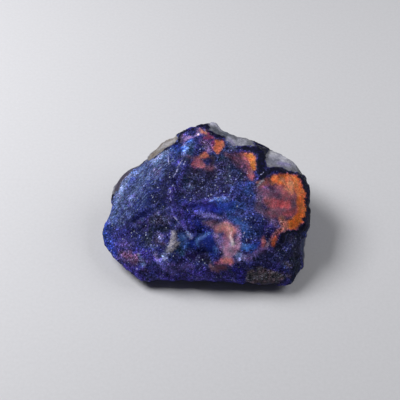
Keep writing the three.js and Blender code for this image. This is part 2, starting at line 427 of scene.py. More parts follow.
CENTRE_WASHES = (
    wash(Tint.SUGAR, 0.9, 0.8, (-2.2, 4.4, 1.0), (-1.4, 2.4, 1.6), (0.8, 2.6, 1.8), (2.8, 3.2, 1.5),
         (3.4, 5.0, 0.8)),
    wash(Tint.NAVY, 0.8, 0.9, (-2.4, 5.4, 0.6), (-3.3, 3.6, 0.7), (-3.8, 1.8, 0.7)),
    wash(Tint.TEAL_DARK, 0.6, 0.5, (-3.4, 4.0, 0.3), (-2.8, 3.6, 0.3), (-3.4, 2.6, 0.2)),
    wash(Tint.NIGHT, 0.8, 0.7, (-4.6, 1.2, 0.3), (-4.9, 0.4, 0.4)),
    wash(Tint.PLUM, 0.85, 0.5, (-2.2, 4.8, 0.2), (-1.2, 5.0, 0.3)),
    wash(Tint.SUGAR_GREY, 0.8, 0.5, (-2.4, 3.2, 0.2), (-2.2, 2.8, 0.3)),
    wash(Tint.NIGHT, 0.8, 0.7, (0.5, 1.6, 0.3), (2.8, 1.8, 0.4)),
    wash(Tint.SUGAR_GREY, 0.6, 0.6, (3.2, 5.4, 0.3), (3.4, 4.8, 0.3)),
    wash(Tint.SUGAR_GREY, 0.6, 0.6, (3.4, 6.3, 0.3), (3.5, 5.8, 0.3)),
    wash(Tint.DUSK_LILAC, 0.9, 0.5, (5.9, 4.3, 0.3), (6.0, 3.8, 0.2)),
    wash(Tint.MAUVE_GREY, 0.7, 0.7, (7.4, 2.9, 0.3), (7.6, 1.8, 0.3)),
    wash(Tint.SUGAR_GREY, 0.5, 0.9, (2.4, 4.7, 0.3), (3.6, 3.8, 0.4), (4.3, 3.1, 0.4)),
    wash(Tint.NIGHT, 0.85, 0.8, (0.4, 4.6, 0.3), (1.4, 4.5, 0.4), (2.4, 5.0, 0.5)),
    wash(Tint.NIGHT, 0.7, 0.6, (2.6, 7.7, 0.3), (3.0, 7.1, 0.3)),
    wash(Tint.NIGHT, 0.7, 0.6, (0.2, 5.9, 0.2), (1.0, 6.1, 0.3)),
    wash(Tint.SOOT, 0.45, 1.2, (-3.2, 7.2, 0.5), (-1.4, 5.0, 0.7), (1.0, 4.8, 0.8), (2.4, 6.4, 0.7)),
    wash(Tint.SOOT, 0.5, 1.0, (3.4, 7.4, 0.5), (5.2, 5.4, 0.6), (7.4, 3.5, 0.4)),
    wash(Tint.DEEP, 0.7, 0.7, (6.0, 3.2, 0.4), (6.6, 2.8, 0.3)),
    wash(Tint.CREST_VIOLET, 0.8, 0.5, (-3.4, 0.2, 0.2), (-3.0, -0.2, 0.2)),
    wash(Tint.APRON_BLUE, 0.7, 0.7, (4.6, -4.6, 0.2), (5.6, -5.2, 0.4)),
    wash(Tint.MAUVE_GREY, 0.7, 0.6, (7.1, 2.4, 0.3), (7.6, 2.0, 0.3)),
    wash(Tint.SLATE, 0.8, 0.9, (4.4, 5.6, 0.7), (5.2, 4.4, 0.8), (5.0, 3.2, 0.5)),
    wash(Tint.TEAL_DARK, 0.7, 0.6, (2.0, 6.8, 0.4), (2.7, 7.2, 0.4), (3.4, 7.0, 0.2)),
    wash(Tint.SUGAR_GREY, 0.9, 0.5, (3.2, 9.6, 0.3), (3.7, 8.9, 0.4), (4.3, 8.6, 0.4)),
    wash(Tint.APRON, 0.9, 0.8, (5.4, 2.4, 1.2), (6.6, 0.6, 1.8), (7.2, -1.6, 2.0), (7.4, -4.0, 1.5)),
    wash(Tint.APRON_BLUE, 0.6, 0.8, (6.8, 3.4, 0.4), (6.9, 2.2, 0.5), (6.0, 1.9, 0.4)),
    wash(Tint.APRON_GREY, 0.6, 0.9, (5.2, -1.3, 0.3), (5.6, -0.9, 0.3)),
    wash(Tint.APRON_BLUE, 0.6, 0.7, (5.2, -2.4, 0.4), (5.9, -2.9, 0.4)),
    wash(Tint.NIGHT, 0.5, 0.9, (8.4, -3.2, 0.5), (9.4, -4.2, 0.7)),
    wash(Tint.APRON_BLUE, 0.6, 0.8, (6.4, -4.4, 0.6), (7.6, -4.8, 0.5)),
    wash(Tint.SPUR, 0.9, 0.6, (-2.6, -0.4, 0.3), (-1.4, -0.6, 0.5), (-0.2, -0.6, 0.6), (0.9, -0.5, 0.7)),
    wash(Tint.ROYAL_DARK, 0.95, 0.6, (1.0, -0.7, 0.3), (1.9, -0.9, 0.6), (2.4, -1.3, 0.3)),
    wash(Tint.ROYAL, 0.95, 0.6, (2.4, -0.2, 0.6), (3.1, -0.3, 0.8), (3.8, -0.3, 0.7)),
    wash(Tint.ROYAL, 0.9, 0.5, (2.0, -1.2, 0.2), (2.8, -1.4, 0.3)),
    wash(Tint.APRON_BLUE, 0.9, 0.6, (3.2, -1.6, 0.4), (4.2, -2.1, 0.3)),
    wash(Tint.BRIGHT_BLUE, 0.7, 0.7, (4.6, -2.3, 0.3), (5.2, -2.7, 0.4), (5.8, -3.6, 0.5)),
    wash(Tint.APRON_BLUE, 0.8, 0.6, (6.2, -4.4, 0.4), (6.6, -5.0, 0.3)),
    wash(Tint.APRON_BLUE, 0.85, 0.7, (3.9, -1.1, 0.4), (4.8, -0.3, 0.5)),
    wash(Tint.APRON_BLUE, 0.7, 0.8, (4.6, 0.4, 0.4), (5.6, -0.4, 0.6), (5.4, -1.0, 0.4)),
    # painted highlight on the ledge's lit top edge
    wash(Tint.SKY, 0.9, 0.4, (0.7, 0.3, 0.05), (1.6, 0.6, 0.12), (2.8, 0.7, 0.2), (3.6, 0.65, 0.16)),
    wash(Tint.SKY, 0.6, 0.35, (3.7, 1.2, 0.05), (3.85, 2.2, 0.1), (3.7, 2.9, 0.04)),
    wash(Tint.LILAC, 0.95, 0.6, (-1.6, -1.2, 0.12), (-0.4, -1.7, 0.35), (1.2, -2.1, 0.4), (2.2, -2.4, 0.25)),
    wash(Tint.LILAC, 0.7, 0.6, (2.6, -1.3, 0.15), (2.9, -1.9, 0.25)),
    wash(Tint.LILAC_WHITE, 0.6, 0.4, (-0.3, -1.8, 0.06), (1.2, -2.1, 0.12), (2.2, -2.3, 0.1)),
    wash(Tint.SPUR, 0.9, 0.8, (-2.9, -1.6, 0.6), (-1.8, -2.9, 0.9), (-0.6, -3.9, 0.9), (0.4, -4.8, 0.7)),
    wash(Tint.CREST_VIOLET, 0.8, 0.6, (-3.8, -0.8, 0.2), (-3.8, -2.2, 0.3), (-3.5, -3.2, 0.4)),
    wash(Tint.LILAC, 0.5, 0.5, (-4.2, -2.4, 0.15), (-4.4, -3.6, 0.2)),
    wash(Tint.LILAC, 0.95, 0.5, (-3.6, -3.4, 0.3), (-3.5, -3.8, 0.2)),
    wash(Tint.BRIGHT_BLUE, 0.8, 0.5, (-3.9, -4.6, 0.2), (-4.0, -6.2, 0.4)),
    wash(Tint.STEEL_PALE, 0.6, 0.4, (-4.1, -6.0, 0.15), (-4.0, -6.4, 0.15)),
    wash(Tint.DEEP, 0.85, 0.6, (-1.8, -2.4, 0.3), (-1.1, -3.1, 0.5), (-0.7, -3.7, 0.3)),
    wash(Tint.VIOLET, 0.9, 0.5, (0.2, -4.2, 0.3), (0.7, -4.5, 0.2)),
    wash(Tint.DEEP, 0.7, 0.6, (-1.2, -3.9, 0.3), (-0.4, -4.4, 0.4), (0.5, -4.6, 0.3)),
    wash(Tint.DEEP, 0.9, 0.8, (0.0, -5.8, 0.7), (0.6, -6.0, 1.0), (0.9, -7.0, 0.8), (1.4, -7.8, 0.4)),
    wash(Tint.BRIGHT_BLUE, 0.9, 0.5, (1.4, -6.6, 0.2), (1.7, -7.2, 0.4)),
    wash(Tint.FOLD_SHADE, 0.9, 0.7, (-0.9, -6.4, 0.3), (-1.2, -7.2, 0.5), (-0.2, -7.3, 0.3)),
    wash(Tint.DEEP, 0.95, 0.5, (-2.3, -5.0, 0.4), (-2.1, -6.0, 0.6), (-1.9, -6.6, 0.3)),
    wash(Tint.BRIGHT_BLUE, 0.95, 0.6, (-3.5, -4.8, 0.4), (-3.3, -5.7, 0.6), (-3.0, -6.4, 0.4)),
    wash(Tint.BRIGHT_BLUE, 0.95, 0.5, (-1.3, -6.3, 0.2), (-1.1, -5.6, 0.4), (-0.3, -4.9, 0.35),
         (0.4, -4.6, 0.2)),
    wash(Tint.BRIGHT_BLUE, 0.8, 0.5, (-3.9, -6.3, 0.2), (-3.4, -6.8, 0.3)),
    wash(Tint.TEAL_PALE, 0.8, 0.4, (-3.7, -5.0, 0.12), (-3.2, -5.2, 0.18), (-2.9, -4.9, 0.1)),
    wash(Tint.PERIWINKLE, 0.9, 0.4, (-2.3, -4.7, 0.2), (-1.7, -4.8, 0.3)),
    wash(Tint.ICE, 0.95, 0.3, (-2.9, -4.35, 0.1), (-2.6, -4.7, 0.16), (-2.2, -5.1, 0.14)),
    wash(Tint.TEAL_PALE, 0.65, 0.4, (-1.4, -6.1, 0.06), (-0.9, -5.4, 0.14), (0.1, -4.8, 0.12)),
    wash(Tint.AZURE_DEEP, 0.98, 0.5, (6.0, -6.7, 0.5), (7.1, -6.8, 0.6), (7.9, -6.6, 0.3)),
    wash(Tint.AZURE, 0.9, 0.5, (5.2, -6.4, 0.2), (5.9, -6.8, 0.4), (6.4, -7.0, 0.3)),
    wash(Tint.DEEP, 0.8, 0.5, (7.6, -6.2, 0.3), (8.2, -6.5, 0.3)),
    wash(Tint.TEAL_PALE, 0.75, 0.35, (5.2, -6.3, 0.1), (5.8, -6.4, 0.16), (6.7, -6.3, 0.06)),
    wash(Tint.TEAL_PALE, 0.6, 0.3, (6.3, -7.0, 0.03), (7.4, -6.6, 0.06)),
    wash(Tint.HAZE, 0.95, 0.6, (4.6, -7.4, 0.4), (5.0, -7.8, 0.6), (5.4, -8.2, 0.4)),
    wash(Tint.MIST, 0.95, 0.6, (5.6, -8.3, 0.25), (6.6, -8.1, 0.35)),
    wash(Tint.DUSK_LILAC, 0.98, 0.7, (6.6, -8.1, 0.5), (7.6, -7.9, 0.6), (8.6, -7.4, 0.5)),
    wash(Tint.MAUVE_GREY, 0.8, 0.7, (8.4, -7.7, 0.3), (9.4, -6.5, 0.3)),
)

LOWER_WASHES = (
    wash(Tint.MEADOW, 0.9, 0.8, (-12.0, -4.2, 1.5), (-12.4, -6.0, 2.0), (-10.4, -8.0, 1.7)),
    wash(Tint.EDGE_BLUE, 0.9, 1.1, (-15.3, -3.7, 0.7), (-15.6, -5.0, 0.8), (-14.8, -6.8, 0.5)),
    # painted shade: the dark underside along the lower-left edge
    wash(Tint.PLUM, 0.9, 0.5, (-15.9, -6.6, 0.1), (-14.6, -8.5, 0.25), (-12.6, -10.3, 0.3),
         (-10.3, -11.8, 0.3)),
    wash(Tint.DEEP, 0.7, 0.7, (-15.3, -6.0, 0.3), (-14.6, -7.2, 0.4), (-14.0, -7.8, 0.3)),
    wash(Tint.TEAL_BLUE, 0.4, 0.7, (-15.7, -4.4, 0.2), (-15.5, -5.4, 0.2)),
    wash(Tint.MEADOW_DUSK, 0.7, 0.8, (-12.8, -6.2, 0.4), (-11.8, -6.6, 0.4)),
    wash(Tint.NIGHT, 0.7, 0.9, (-12.4, -3.6, 0.3), (-11.2, -4.2, 0.5), (-10.6, -4.9, 0.3)),
    wash(Tint.ASHEN, 0.9, 0.8, (-8.6, -2.6, 0.5), (-7.0, -2.5, 0.8), (-5.9, -2.5, 0.6)),
    wash(Tint.CHARCOAL, 0.95, 0.8, (-8.4, -3.6, 0.4), (-9.0, -5.4, 0.9), (-8.8, -6.2, 0.5)),
    wash(Tint.CHARCOAL, 0.9, 0.7, (-7.6, -3.9, 0.5), (-6.2, -3.9, 0.5), (-5.4, -3.8, 0.3)),
    wash(Tint.NIGHT, 0.5, 0.9, (-13.0, -6.9, 0.4), (-11.6, -7.0, 0.5), (-10.3, -6.6, 0.4)),
    wash(Tint.APRON_GREY, 0.6, 0.7, (-11.2, -3.4, 0.3), (-9.9, -3.6, 0.3)),
    wash(Tint.FOLD_SHADE, 0.85, 0.7, (-10.3, -4.4, 0.4), (-10.4, -5.2, 0.4), (-9.9, -6.6, 0.4)),
    wash(Tint.SOOT, 0.8, 0.7, (-7.6, -5.7, 0.4), (-6.6, -6.2, 0.4)),
    wash(Tint.TEAL_DARK, 0.9, 0.5, (-4.2, -7.2, 0.5), (-3.6, -7.8, 0.4)),
    wash(Tint.SUGAR_GREY, 0.8, 0.5, (-5.9, -6.5, 0.3), (-5.9, -7.6, 0.5), (-6.4, -8.0, 0.3)),
    wash(Tint.ROSE_GREY, 0.95, 0.7, (-12.8, -7.8, 0.4), (-11.9, -8.0, 0.6), (-10.8, -8.6, 0.6)),
    wash(Tint.ROSE_GREY, 0.6, 0.6, (-12.4, -8.8, 0.2), (-11.4, -9.3, 0.3)),
    wash(Tint.LILAC, 0.75, 0.5, (-13.6, -8.3, 0.2), (-12.9, -8.6, 0.25)),
    wash(Tint.CREST_VIOLET, 0.8, 0.6, (-10.5, -7.1, 0.3), (-9.6, -7.4, 0.4), (-8.8, -7.9, 0.4)),
    wash(Tint.HAZE, 0.8, 0.5, (-10.0, -8.3, 0.2), (-9.7, -8.9, 0.3), (-9.6, -9.5, 0.2)),
    wash(Tint.LILAC, 0.8, 0.5, (-9.4, -8.6, 0.2), (-8.8, -8.9, 0.3)),
    wash(Tint.CREST_VIOLET, 0.8, 0.5, (-8.2, -8.4, 0.25), (-7.2, -8.8, 0.35)),
    wash(Tint.MIST, 0.8, 0.6, (-7.2, -5.1, 0.3), (-6.8, -5.0, 0.25)),
    # painted glint: a bright white-blue spark
    wash(Tint.ICE, 0.95, 0.4, (-6.5, -8.1, 0.2), (-6.2, -8.5, 0.25)),
    wash(Tint.MIST, 0.6, 0.6, (-8.6, -6.6, 0.1), (-8.0, -7.2, 0.2), (-7.4, -8.6, 0.15), (-6.5, -9.6, 0.25)),
    wash(Tint.LILAC, 0.95, 0.5, (-7.0, -9.1, 0.2), (-6.5, -9.6, 0.35), (-6.1, -9.9, 0.2)),
    wash(Tint.BROW_DUSK, 0.7, 0.6, (-6.4, -9.8, 0.3), (-4.8, -9.9, 0.4)),
    wash(Tint.LILAC, 0.5, 0.7, (-7.4, -9.7, 0.2), (-5.6, -10.0, 0.3), (-3.8, -9.7, 0.2)),
    wash(Tint.SPUR, 0.8, 0.5, (-8.6, -7.0, 0.3), (-7.9, -7.2, 0.3)),
    wash(Tint.BROW_DUSK, 0.7, 0.5, (3.2, -9.5, 0.2), (4.4, -9.4, 0.3)),
    wash(Tint.STEEL_PALE, 0.8, 0.3, (-8.6, -6.5, 0.08), (-8.2, -6.9, 0.1)),
    wash(Tint.BROW, 0.9, 0.8, (-12.4, -9.9, 0.9), (-9.4, -10.9, 1.2), (-3.6, -11.3, 1.2), (3.0, -11.4, 1.2)),
    wash(Tint.SLATE, 0.6, 0.6, (-10.2, -10.4, 0.3), (-8.4, -11.0, 0.6)),
    wash(Tint.MEADOW_DUSK, 0.7, 0.5, (-9.9, -10.1, 0.2), (-9.2, -10.3, 0.2)),
    wash(Tint.PLUM, 0.9, 0.7, (-3.0, -7.9, 0.4), (-1.8, -8.0, 0.7), (-0.6, -8.3, 0.7), (0.2, -8.6, 0.4)),
    wash(Tint.PLUM, 0.7, 0.6, (-1.4, -9.7, 0.3), (-0.5, -9.7, 0.3)),
    wash(Tint.SOOT, 0.6, 0.8, (0.4, -8.9, 0.3), (1.6, -9.9, 0.4), (4.2, -9.9, 0.3)),
    wash(Tint.BROW_DUSK, 0.9, 0.7, (-5.8, -9.3, 0.3), (-4.6, -9.9, 0.6), (-3.2, -9.8, 0.5),
         (-2.4, -9.7, 0.3)),
    wash(Tint.LILAC, 0.85, 0.6, (-6.6, -9.7, 0.3), (-5.9, -10.1, 0.4), (-5.0, -10.6, 0.4)),
    wash(Tint.INK, 0.9, 0.6, (4.5, -9.8, 0.4), (5.3, -10.7, 0.7), (5.4, -11.8, 0.6)),
    wash(Tint.TEAL_DARK, 0.8, 0.4, (3.5, -10.2, 0.15), (4.0, -10.4, 0.2)),
    wash(Tint.NAVY, 0.9, 0.8, (7.8, -8.8, 0.7), (9.6, -8.5, 1.3), (11.8, -7.9, 1.5), (13.4, -8.8, 1.2)),
    wash(Tint.NAVY_DARK, 0.9, 0.8, (11.0, -6.6, 0.6), (12.0, -5.4, 0.5), (14.2, -5.2, 0.8),
         (13.9, -7.4, 0.9), (13.6, -9.4, 0.8)),
    # painted shade on the lower part of the right flank
    wash(Tint.CHARCOAL, 0.9, 0.6, (13.4, -8.6, 0.4), (14.2, -9.2, 0.6), (13.8, -11.0, 0.5),
         (12.8, -12.4, 0.3)),
    wash(Tint.CHARCOAL, 0.7, 0.8, (11.6, -7.4, 0.5), (12.5, -7.7, 0.5)),
    wash(Tint.CREST_VIOLET, 0.5, 0.6, (8.6, -9.2, 0.1), (9.8, -9.6, 0.15), (11.0, -9.2, 0.1)),
    wash(Tint.ASHEN, 0.8, 0.4, (13.0, -4.8, 0.2), (13.2, -5.8, 0.3), (13.4, -6.6, 0.2)),
    wash(Tint.ASH, 0.6, 0.6, (12.2, -9.2, 0.3), (12.8, -9.6, 0.2)),
    wash(Tint.ASH, 0.7, 0.5, (12.0, -10.9, 0.2), (13.0, -11.1, 0.2)),
    wash(Tint.ASHEN, 0.7, 0.4, (14.8, -5.4, 0.2), (15.1, -6.5, 0.4), (15.0, -7.8, 0.3)),
    wash(Tint.ASH, 0.9, 0.4, (6.9, -10.6, 0.6), (7.2, -11.6, 0.8), (9.0, -11.2, 1.1), (10.6, -11.3, 1.0),
         (11.6, -11.3, 0.6)),
    wash(Tint.ASH, 0.9, 0.4, (8.0, -10.0, 0.3), (9.0, -10.0, 0.2)),
    wash(Tint.ASH_DARK, 0.7, 0.6, (9.2, -10.5, 0.2), (9.8, -11.0, 0.3), (10.8, -11.6, 0.2)),
    wash(Tint.ASH_DARK, 0.7, 0.5, (7.8, -11.8, 0.2), (8.8, -12.1, 0.3)),
)

WASHES = WING_WASHES + CENTRE_WASHES + LOWER_WASHES

GLOWS = (
    wash(Glow.DUSK, 0.85, 1.0, (8.4, 2.6, 0.4), (8.2, 0.8, 0.5), (8.1, -0.7, 0.7), (9.8, -2.0, 0.4),
         (10.7, -3.2, 0.4)),
    wash(Glow.ROSE_DARK, 0.9, 0.9, (9.8, 0.9, 1.1), (11.4, 0.5, 1.7), (12.7, 0.4, 1.4), (13.3, 0.2, 0.9)),
    wash(Glow.ROSE_DARK, 0.85, 0.9, (12.6, -0.8, 1.0), (10.6, -1.0, 0.9)),
    wash(Glow.MAUVE, 0.9, 0.9, (8.8, 2.0, 0.5), (9.6, 1.8, 0.8), (10.8, 1.7, 0.9), (11.8, 1.6, 0.7)),
    wash(Glow.ROSE_SOFT, 0.7, 0.5, (8.3, 2.6, 0.2), (9.0, 2.9, 0.3), (9.6, 2.9, 0.2)),
    wash(Glow.BAR_BROWN, 0.95, 0.4, (8.8, 3.7, 0.25), (9.8, 3.6, 0.35), (10.2, 4.2, 0.2)),
    wash(Glow.BLOB_BROWN, 0.95, 0.4, (9.9, 3.2, 0.2), (10.4, 3.1, 0.25)),
    wash(Glow.TAN, 0.7, 0.3, (7.8, 3.2, 0.1), (8.3, 3.5, 0.15)),
    wash(Tint.SOOT, 0.8, 0.4, (9.0, 4.5, 0.2), (9.8, 4.5, 0.2)),
    wash(Tint.NIGHT, 0.95, 0.4, (9.0, 6.0, 0.3), (9.3, 5.5, 0.4)),
    wash(Glow.BLOB_BROWN, 0.7, 0.5, (8.0, 3.2, 0.25), (9.2, 3.2, 0.3)),
    wash(Glow.BLOB_BROWN, 0.6, 0.6, (10.9, 2.7, 0.3), (11.9, 2.5, 0.3)),
    wash(Glow.ROSE_SOFT, 0.95, 0.9, (11.6, 2.5, 0.4), (12.4, 1.6, 0.8), (13.4, 1.4, 0.7)),
    wash(Glow.ROSE_DARK, 0.85, 0.9, (9.8, -1.4, 0.6), (11.2, -1.7, 0.6), (12.6, -1.6, 0.6),
         (13.6, -1.0, 0.6)),
    wash(Glow.ROSE_SOFT, 0.9, 0.9, (9.2, 0.3, 0.4), (10.0, 0.1, 0.7), (10.4, -0.4, 0.5)),
    wash(Glow.ROSE, 0.95, 0.8, (10.6, 0.1, 0.6), (11.6, 0.0, 0.7), (12.4, -0.2, 0.6)),
    wash(Glow.ROSE_BRIGHT, 0.8, 0.7, (11.8, -0.4, 0.2), (12.5, -0.1, 0.4), (12.8, 0.3, 0.2)),
    wash(Glow.ROSE, 0.8, 0.7, (12.2, -1.6, 0.4), (13.2, -1.4, 0.4), (13.9, -0.9, 0.4)),
    wash(Glow.MAUVE_DARK, 0.85, 0.5, (9.9, 2.7, 0.2), (10.5, 2.4, 0.3)),
    wash(Glow.MAUVE_DARK, 0.7, 0.5, (10.6, 1.6, 0.2), (11.1, 1.4, 0.25)),
    wash(Glow.LOBE, 0.98, 0.5, (10.7, 3.8, 0.6), (11.6, 3.7, 0.9), (12.6, 3.8, 0.8), (13.4, 3.8, 0.6)),
    wash(Glow.SHOULDER, 0.6, 0.9, (12.4, 3.0, 0.3), (12.3, 2.2, 0.3)),
    wash(Glow.SHOULDER, 0.95, 0.8, (12.9, 3.8, 0.4), (13.1, 3.1, 0.7), (13.2, 2.3, 0.6), (13.2, 1.7, 0.2)),
    wash(Glow.RIGHT, 0.95, 0.5, (13.8, 3.8, 0.5), (14.3, 2.6, 0.65), (14.7, 1.4, 0.7), (14.7, 0.4, 0.65)),
    wash(Glow.SHOULDER, 0.5, 0.5, (14.0, 2.4, 0.1), (14.2, 1.4, 0.15)),
    wash(Glow.RIGHT, 0.98, 0.5, (14.7, 0.4, 0.7), (14.8, -1.0, 0.8), (14.5, -2.2, 0.7)),
    wash(Glow.LOW, 0.98, 0.5, (14.2, -2.0, 0.6), (13.7, -2.8, 0.8), (13.1, -3.2, 0.8)),
    wash(Glow.TAIL, 0.8, 0.4, (13.4, -3.8, 0.2), (14.0, -3.7, 0.2)),
    wash(Glow.BRIGHT, 0.6, 0.5, (10.8, 4.0, 0.15), (11.6, 3.4, 0.2)),
    wash(Glow.BRIGHT, 0.8, 0.5, (13.6, 3.9, 0.15), (14.1, 3.1, 0.2), (14.2, 2.2, 0.1)),
    wash(Glow.BRIGHT, 0.4, 0.5, (14.8, 0.6, 0.15), (14.9, -0.8, 0.15)),
    wash(Glow.TAN, 0.6, 0.5, (11.6, 3.9, 0.2), (12.0, 3.4, 0.25)),
    wash(Glow.TAIL_HAZE, 0.9, 0.6, (11.6, -2.4, 0.5), (12.1, -3.2, 0.6), (12.0, -3.8, 0.4),
         (11.2, -4.2, 0.35)),
    wash(Glow.ROSE_SOFT, 0.9, 0.5, (11.0, -4.2, 0.3), (10.6, -4.8, 0.4), (10.1, -5.4, 0.3)),
    wash(Glow.SALMON_DUSK, 0.9, 0.4, (9.9, -5.7, 0.2), (9.4, -6.3, 0.25)),
    wash(Tint.DUSK_LILAC, 0.95, 0.6, (9.2, -6.6, 0.3), (8.6, -7.0, 0.3)),
    wash(Glow.TAIL, 0.95, 0.4, (10.8, -5.1, 0.2), (10.5, -5.7, 0.4), (10.4, -6.3, 0.3)),
    wash(Glow.ROSE_SOFT, 0.95, 0.4, (8.8, -5.1, 0.15), (8.9, -5.8, 0.35), (8.9, -6.5, 0.25)),
    wash(Glow.SALMON, 0.8, 0.4, (8.9, -5.8, 0.2)),
    wash(Glow.SALMON_WHITE, 0.45, 0.4, (9.3, -6.6, 0.06), (9.6, -6.1, 0.1)),
    wash(Glow.SPECK, 0.8, 0.25, (11.0, 4.4, 0.08), (11.2, 4.2, 0.08)),
    wash(Glow.SPECK, 0.8, 0.25, (11.8, 4.1, 0.1)),
    wash(Glow.SPECK, 0.6, 0.25, (12.2, 3.3, 0.08)),
    wash(Glow.SPECK, 0.6, 0.25, (13.1, -3.5, 0.1)),
    wash(Glow.BAR_DUSK, 0.8, 0.8, (3.0, 7.6, 0.2), (4.2, 7.2, 0.5), (5.2, 6.6, 0.7), (6.0, 5.4, 0.4)),
    wash(Glow.BAR_BROWN, 0.85, 0.5, (4.5, 7.8, 0.15), (5.2, 7.6, 0.35), (5.6, 7.1, 0.25)),
    wash(Glow.ROSE_SOFT, 0.9, 0.6, (5.6, 7.7, 0.2), (6.2, 6.6, 0.4), (6.5, 6.0, 0.3)),
    wash(Glow.ROSE_SOFT, 0.9, 0.5, (6.8, 5.4, 0.4), (6.9, 4.7, 0.5), (7.1, 4.2, 0.4), (7.2, 3.7, 0.1)),
    wash(Glow.EMBER, 0.95, 0.4, (5.9, 7.7, 0.2), (6.5, 7.4, 0.45), (6.9, 7.0, 0.5)),
    wash(Glow.BAR, 0.98, 0.4, (6.9, 7.4, 0.35), (7.2, 7.0, 0.5), (7.3, 6.2, 0.45), (7.4, 5.5, 0.3)),
    wash(Glow.BRIGHT, 0.5, 0.4, (7.0, 7.6, 0.1), (7.4, 6.9, 0.2), (7.5, 6.3, 0.1)),
    wash(Glow.PURPLE, 0.85, 0.7, (-0.6, 9.7, 0.4), (0.2, 9.2, 0.6), (0.8, 8.6, 0.5)),
    wash(Glow.LILAC_PINK, 0.6, 0.5, (-0.2, 9.4, 0.1), (0.1, 8.8, 0.25), (0.4, 8.1, 0.15)),
    wash(Glow.WINE, 0.8, 0.4, (1.0, 9.6, 0.15), (1.0, 8.9, 0.15), (1.1, 8.3, 0.15)),
    wash(Glow.WINE, 0.9, 0.4, (-0.2, 10.2, 0.2), (0.3, 10.3, 0.35), (0.9, 10.3, 0.25)),
    wash(Glow.RED, 0.7, 0.4, (0.3, 10.5, 0.15), (0.8, 10.3, 0.2), (1.4, 10.1, 0.1)),
    wash(Glow.EMBER, 0.98, 0.35, (1.7, 9.5, 0.5), (2.0, 9.0, 0.8), (1.8, 8.5, 0.65), (1.8, 8.1, 0.4)),
    wash(Glow.BLOB_PINK, 0.8, 0.4, (2.3, 9.5, 0.25), (2.5, 8.9, 0.25), (2.1, 8.3, 0.2)),
    wash(Glow.BLOB_BROWN, 0.6, 0.3, (1.35, 9.4, 0.1), (1.3, 8.7, 0.15)),
    wash(Glow.DUSK, 0.8, 0.5, (-1.1, 11.3, 0.2), (-0.6, 11.1, 0.4), (-0.1, 10.8, 0.4)),
    wash(Glow.LOBE, 0.7, 0.35, (-0.75, 11.35, 0.1), (-0.5, 11.0, 0.15), (0.0, 10.8, 0.1)),
    wash(Glow.DUSK, 0.8, 0.5, (-3.9, 9.8, 0.25), (-3.7, 10.5, 0.25)),
    wash(Glow.WINE, 0.8, 0.3, (0.2, 11.1, 0.15), (0.4, 10.7, 0.2)),
    wash(Glow.TAN, 0.85, 0.3, (-0.7, 11.4, 0.08), (-0.6, 11.0, 0.15)),
    wash(Glow.TAN, 0.8, 0.3, (0.0, 11.2, 0.08), (0.05, 10.9, 0.12)),
    wash(Glow.LILAC_PINK, 0.9, 0.4, (-3.2, 9.9, 0.2), (-2.6, 10.2, 0.25), (-2.2, 10.25, 0.15)),
    wash(Glow.PURPLE, 0.6, 0.5, (-3.5, 9.6, 0.2), (-3.2, 10.3, 0.2)),
    wash(Glow.LILAC_PINK, 0.6, 0.4, (-2.0, 10.1, 0.06), (-1.6, 10.5, 0.1), (-1.2, 11.1, 0.1)),
    wash(Glow.SALMON_WHITE, 0.9, 0.25, (-1.25, 10.5, 0.12), (-1.0, 10.8, 0.08)),
    wash(Glow.ROSE_DARK, 0.7, 0.6, (0.0, 5.5, 0.4), (0.8, 5.5, 0.45), (1.3, 5.6, 0.2)),
    wash(Glow.BAR_DUSK, 0.6, 0.6, (-2.8, 7.2, 0.2), (-2.0, 7.1, 0.3)),
    wash(Glow.ROSE_DARK, 0.85, 0.4, (-1.8, 7.0, 0.2), (-1.1, 7.0, 0.3)),
    wash(Glow.RED, 0.95, 0.4, (-1.8, 6.2, 0.4), (-1.4, 6.4, 0.5), (-0.8, 6.5, 0.3)),
    wash(Glow.ROSE_SOFT, 0.95, 0.4, (-1.5, 5.9, 0.2), (-0.9, 6.0, 0.5), (-0.5, 5.9, 0.35)),
    wash(Glow.WINE, 0.6, 0.4, (-2.1, 5.9, 0.1), (-1.8, 5.5, 0.1)),
    wash(Glow.ROSE_SOFT, 0.85, 0.4, (-1.4, 7.0, 0.1), (-0.9, 7.2, 0.2)),
    wash(Glow.PEACH, 0.95, 0.4, (-0.7, 7.4, 0.35), (-0.2, 7.6, 0.4), (0.1, 7.4, 0.3)),
    wash(Tint.SOOT, 0.9, 0.4, (-0.8, 6.85, 0.05), (0.3, 6.95, 0.2), (1.0, 7.1, 0.4), (1.0, 6.3, 0.35)),
    wash(Tint.NIGHT, 0.95, 0.4, (0.0, 6.5, 0.2), (0.6, 6.5, 0.35)),
    wash(Tint.MAUVE_GREY, 0.7, 0.5, (-2.8, 6.3, 0.15), (-2.5, 6.0, 0.2)),
    wash(Glow.SALMON_DUSK, 0.9, 0.8, (-0.2, -2.9, 0.25), (0.7, -3.0, 0.4), (1.7, -3.4, 0.6)),
    wash(Glow.LILAC_FADE, 0.8, 0.8, (1.6, -4.7, 0.3), (2.2, -5.6, 0.6), (2.6, -6.6, 0.6)),
    wash(Glow.PINK_LILAC, 0.92, 0.8, (3.3, -6.2, 0.6), (3.5, -7.2, 0.9), (3.3, -8.0, 0.6)),
    wash(Glow.PINK_LILAC, 0.85, 0.7, (4.9, -5.7, 0.3), (4.7, -6.6, 0.5), (4.4, -7.3, 0.4)),
    wash(Glow.SALMON_LILAC, 0.75, 0.8, (4.9, -3.6, 0.25), (5.0, -4.6, 0.35), (5.0, -5.5, 0.35)),
    wash(Glow.SALMON, 0.92, 0.8, (1.9, -3.9, 0.4), (3.0, -3.5, 0.8), (3.8, -4.1, 0.8), (3.7, -5.0, 0.6)),
    wash(Glow.RED_LILAC, 0.8, 0.6, (2.8, -5.0, 0.3), (3.2, -5.5, 0.4), (3.2, -6.2, 0.3)),
    wash(Tint.DUSK_LILAC, 0.8, 0.5, (2.2, -5.4, 0.15), (2.5, -5.5, 0.15)),
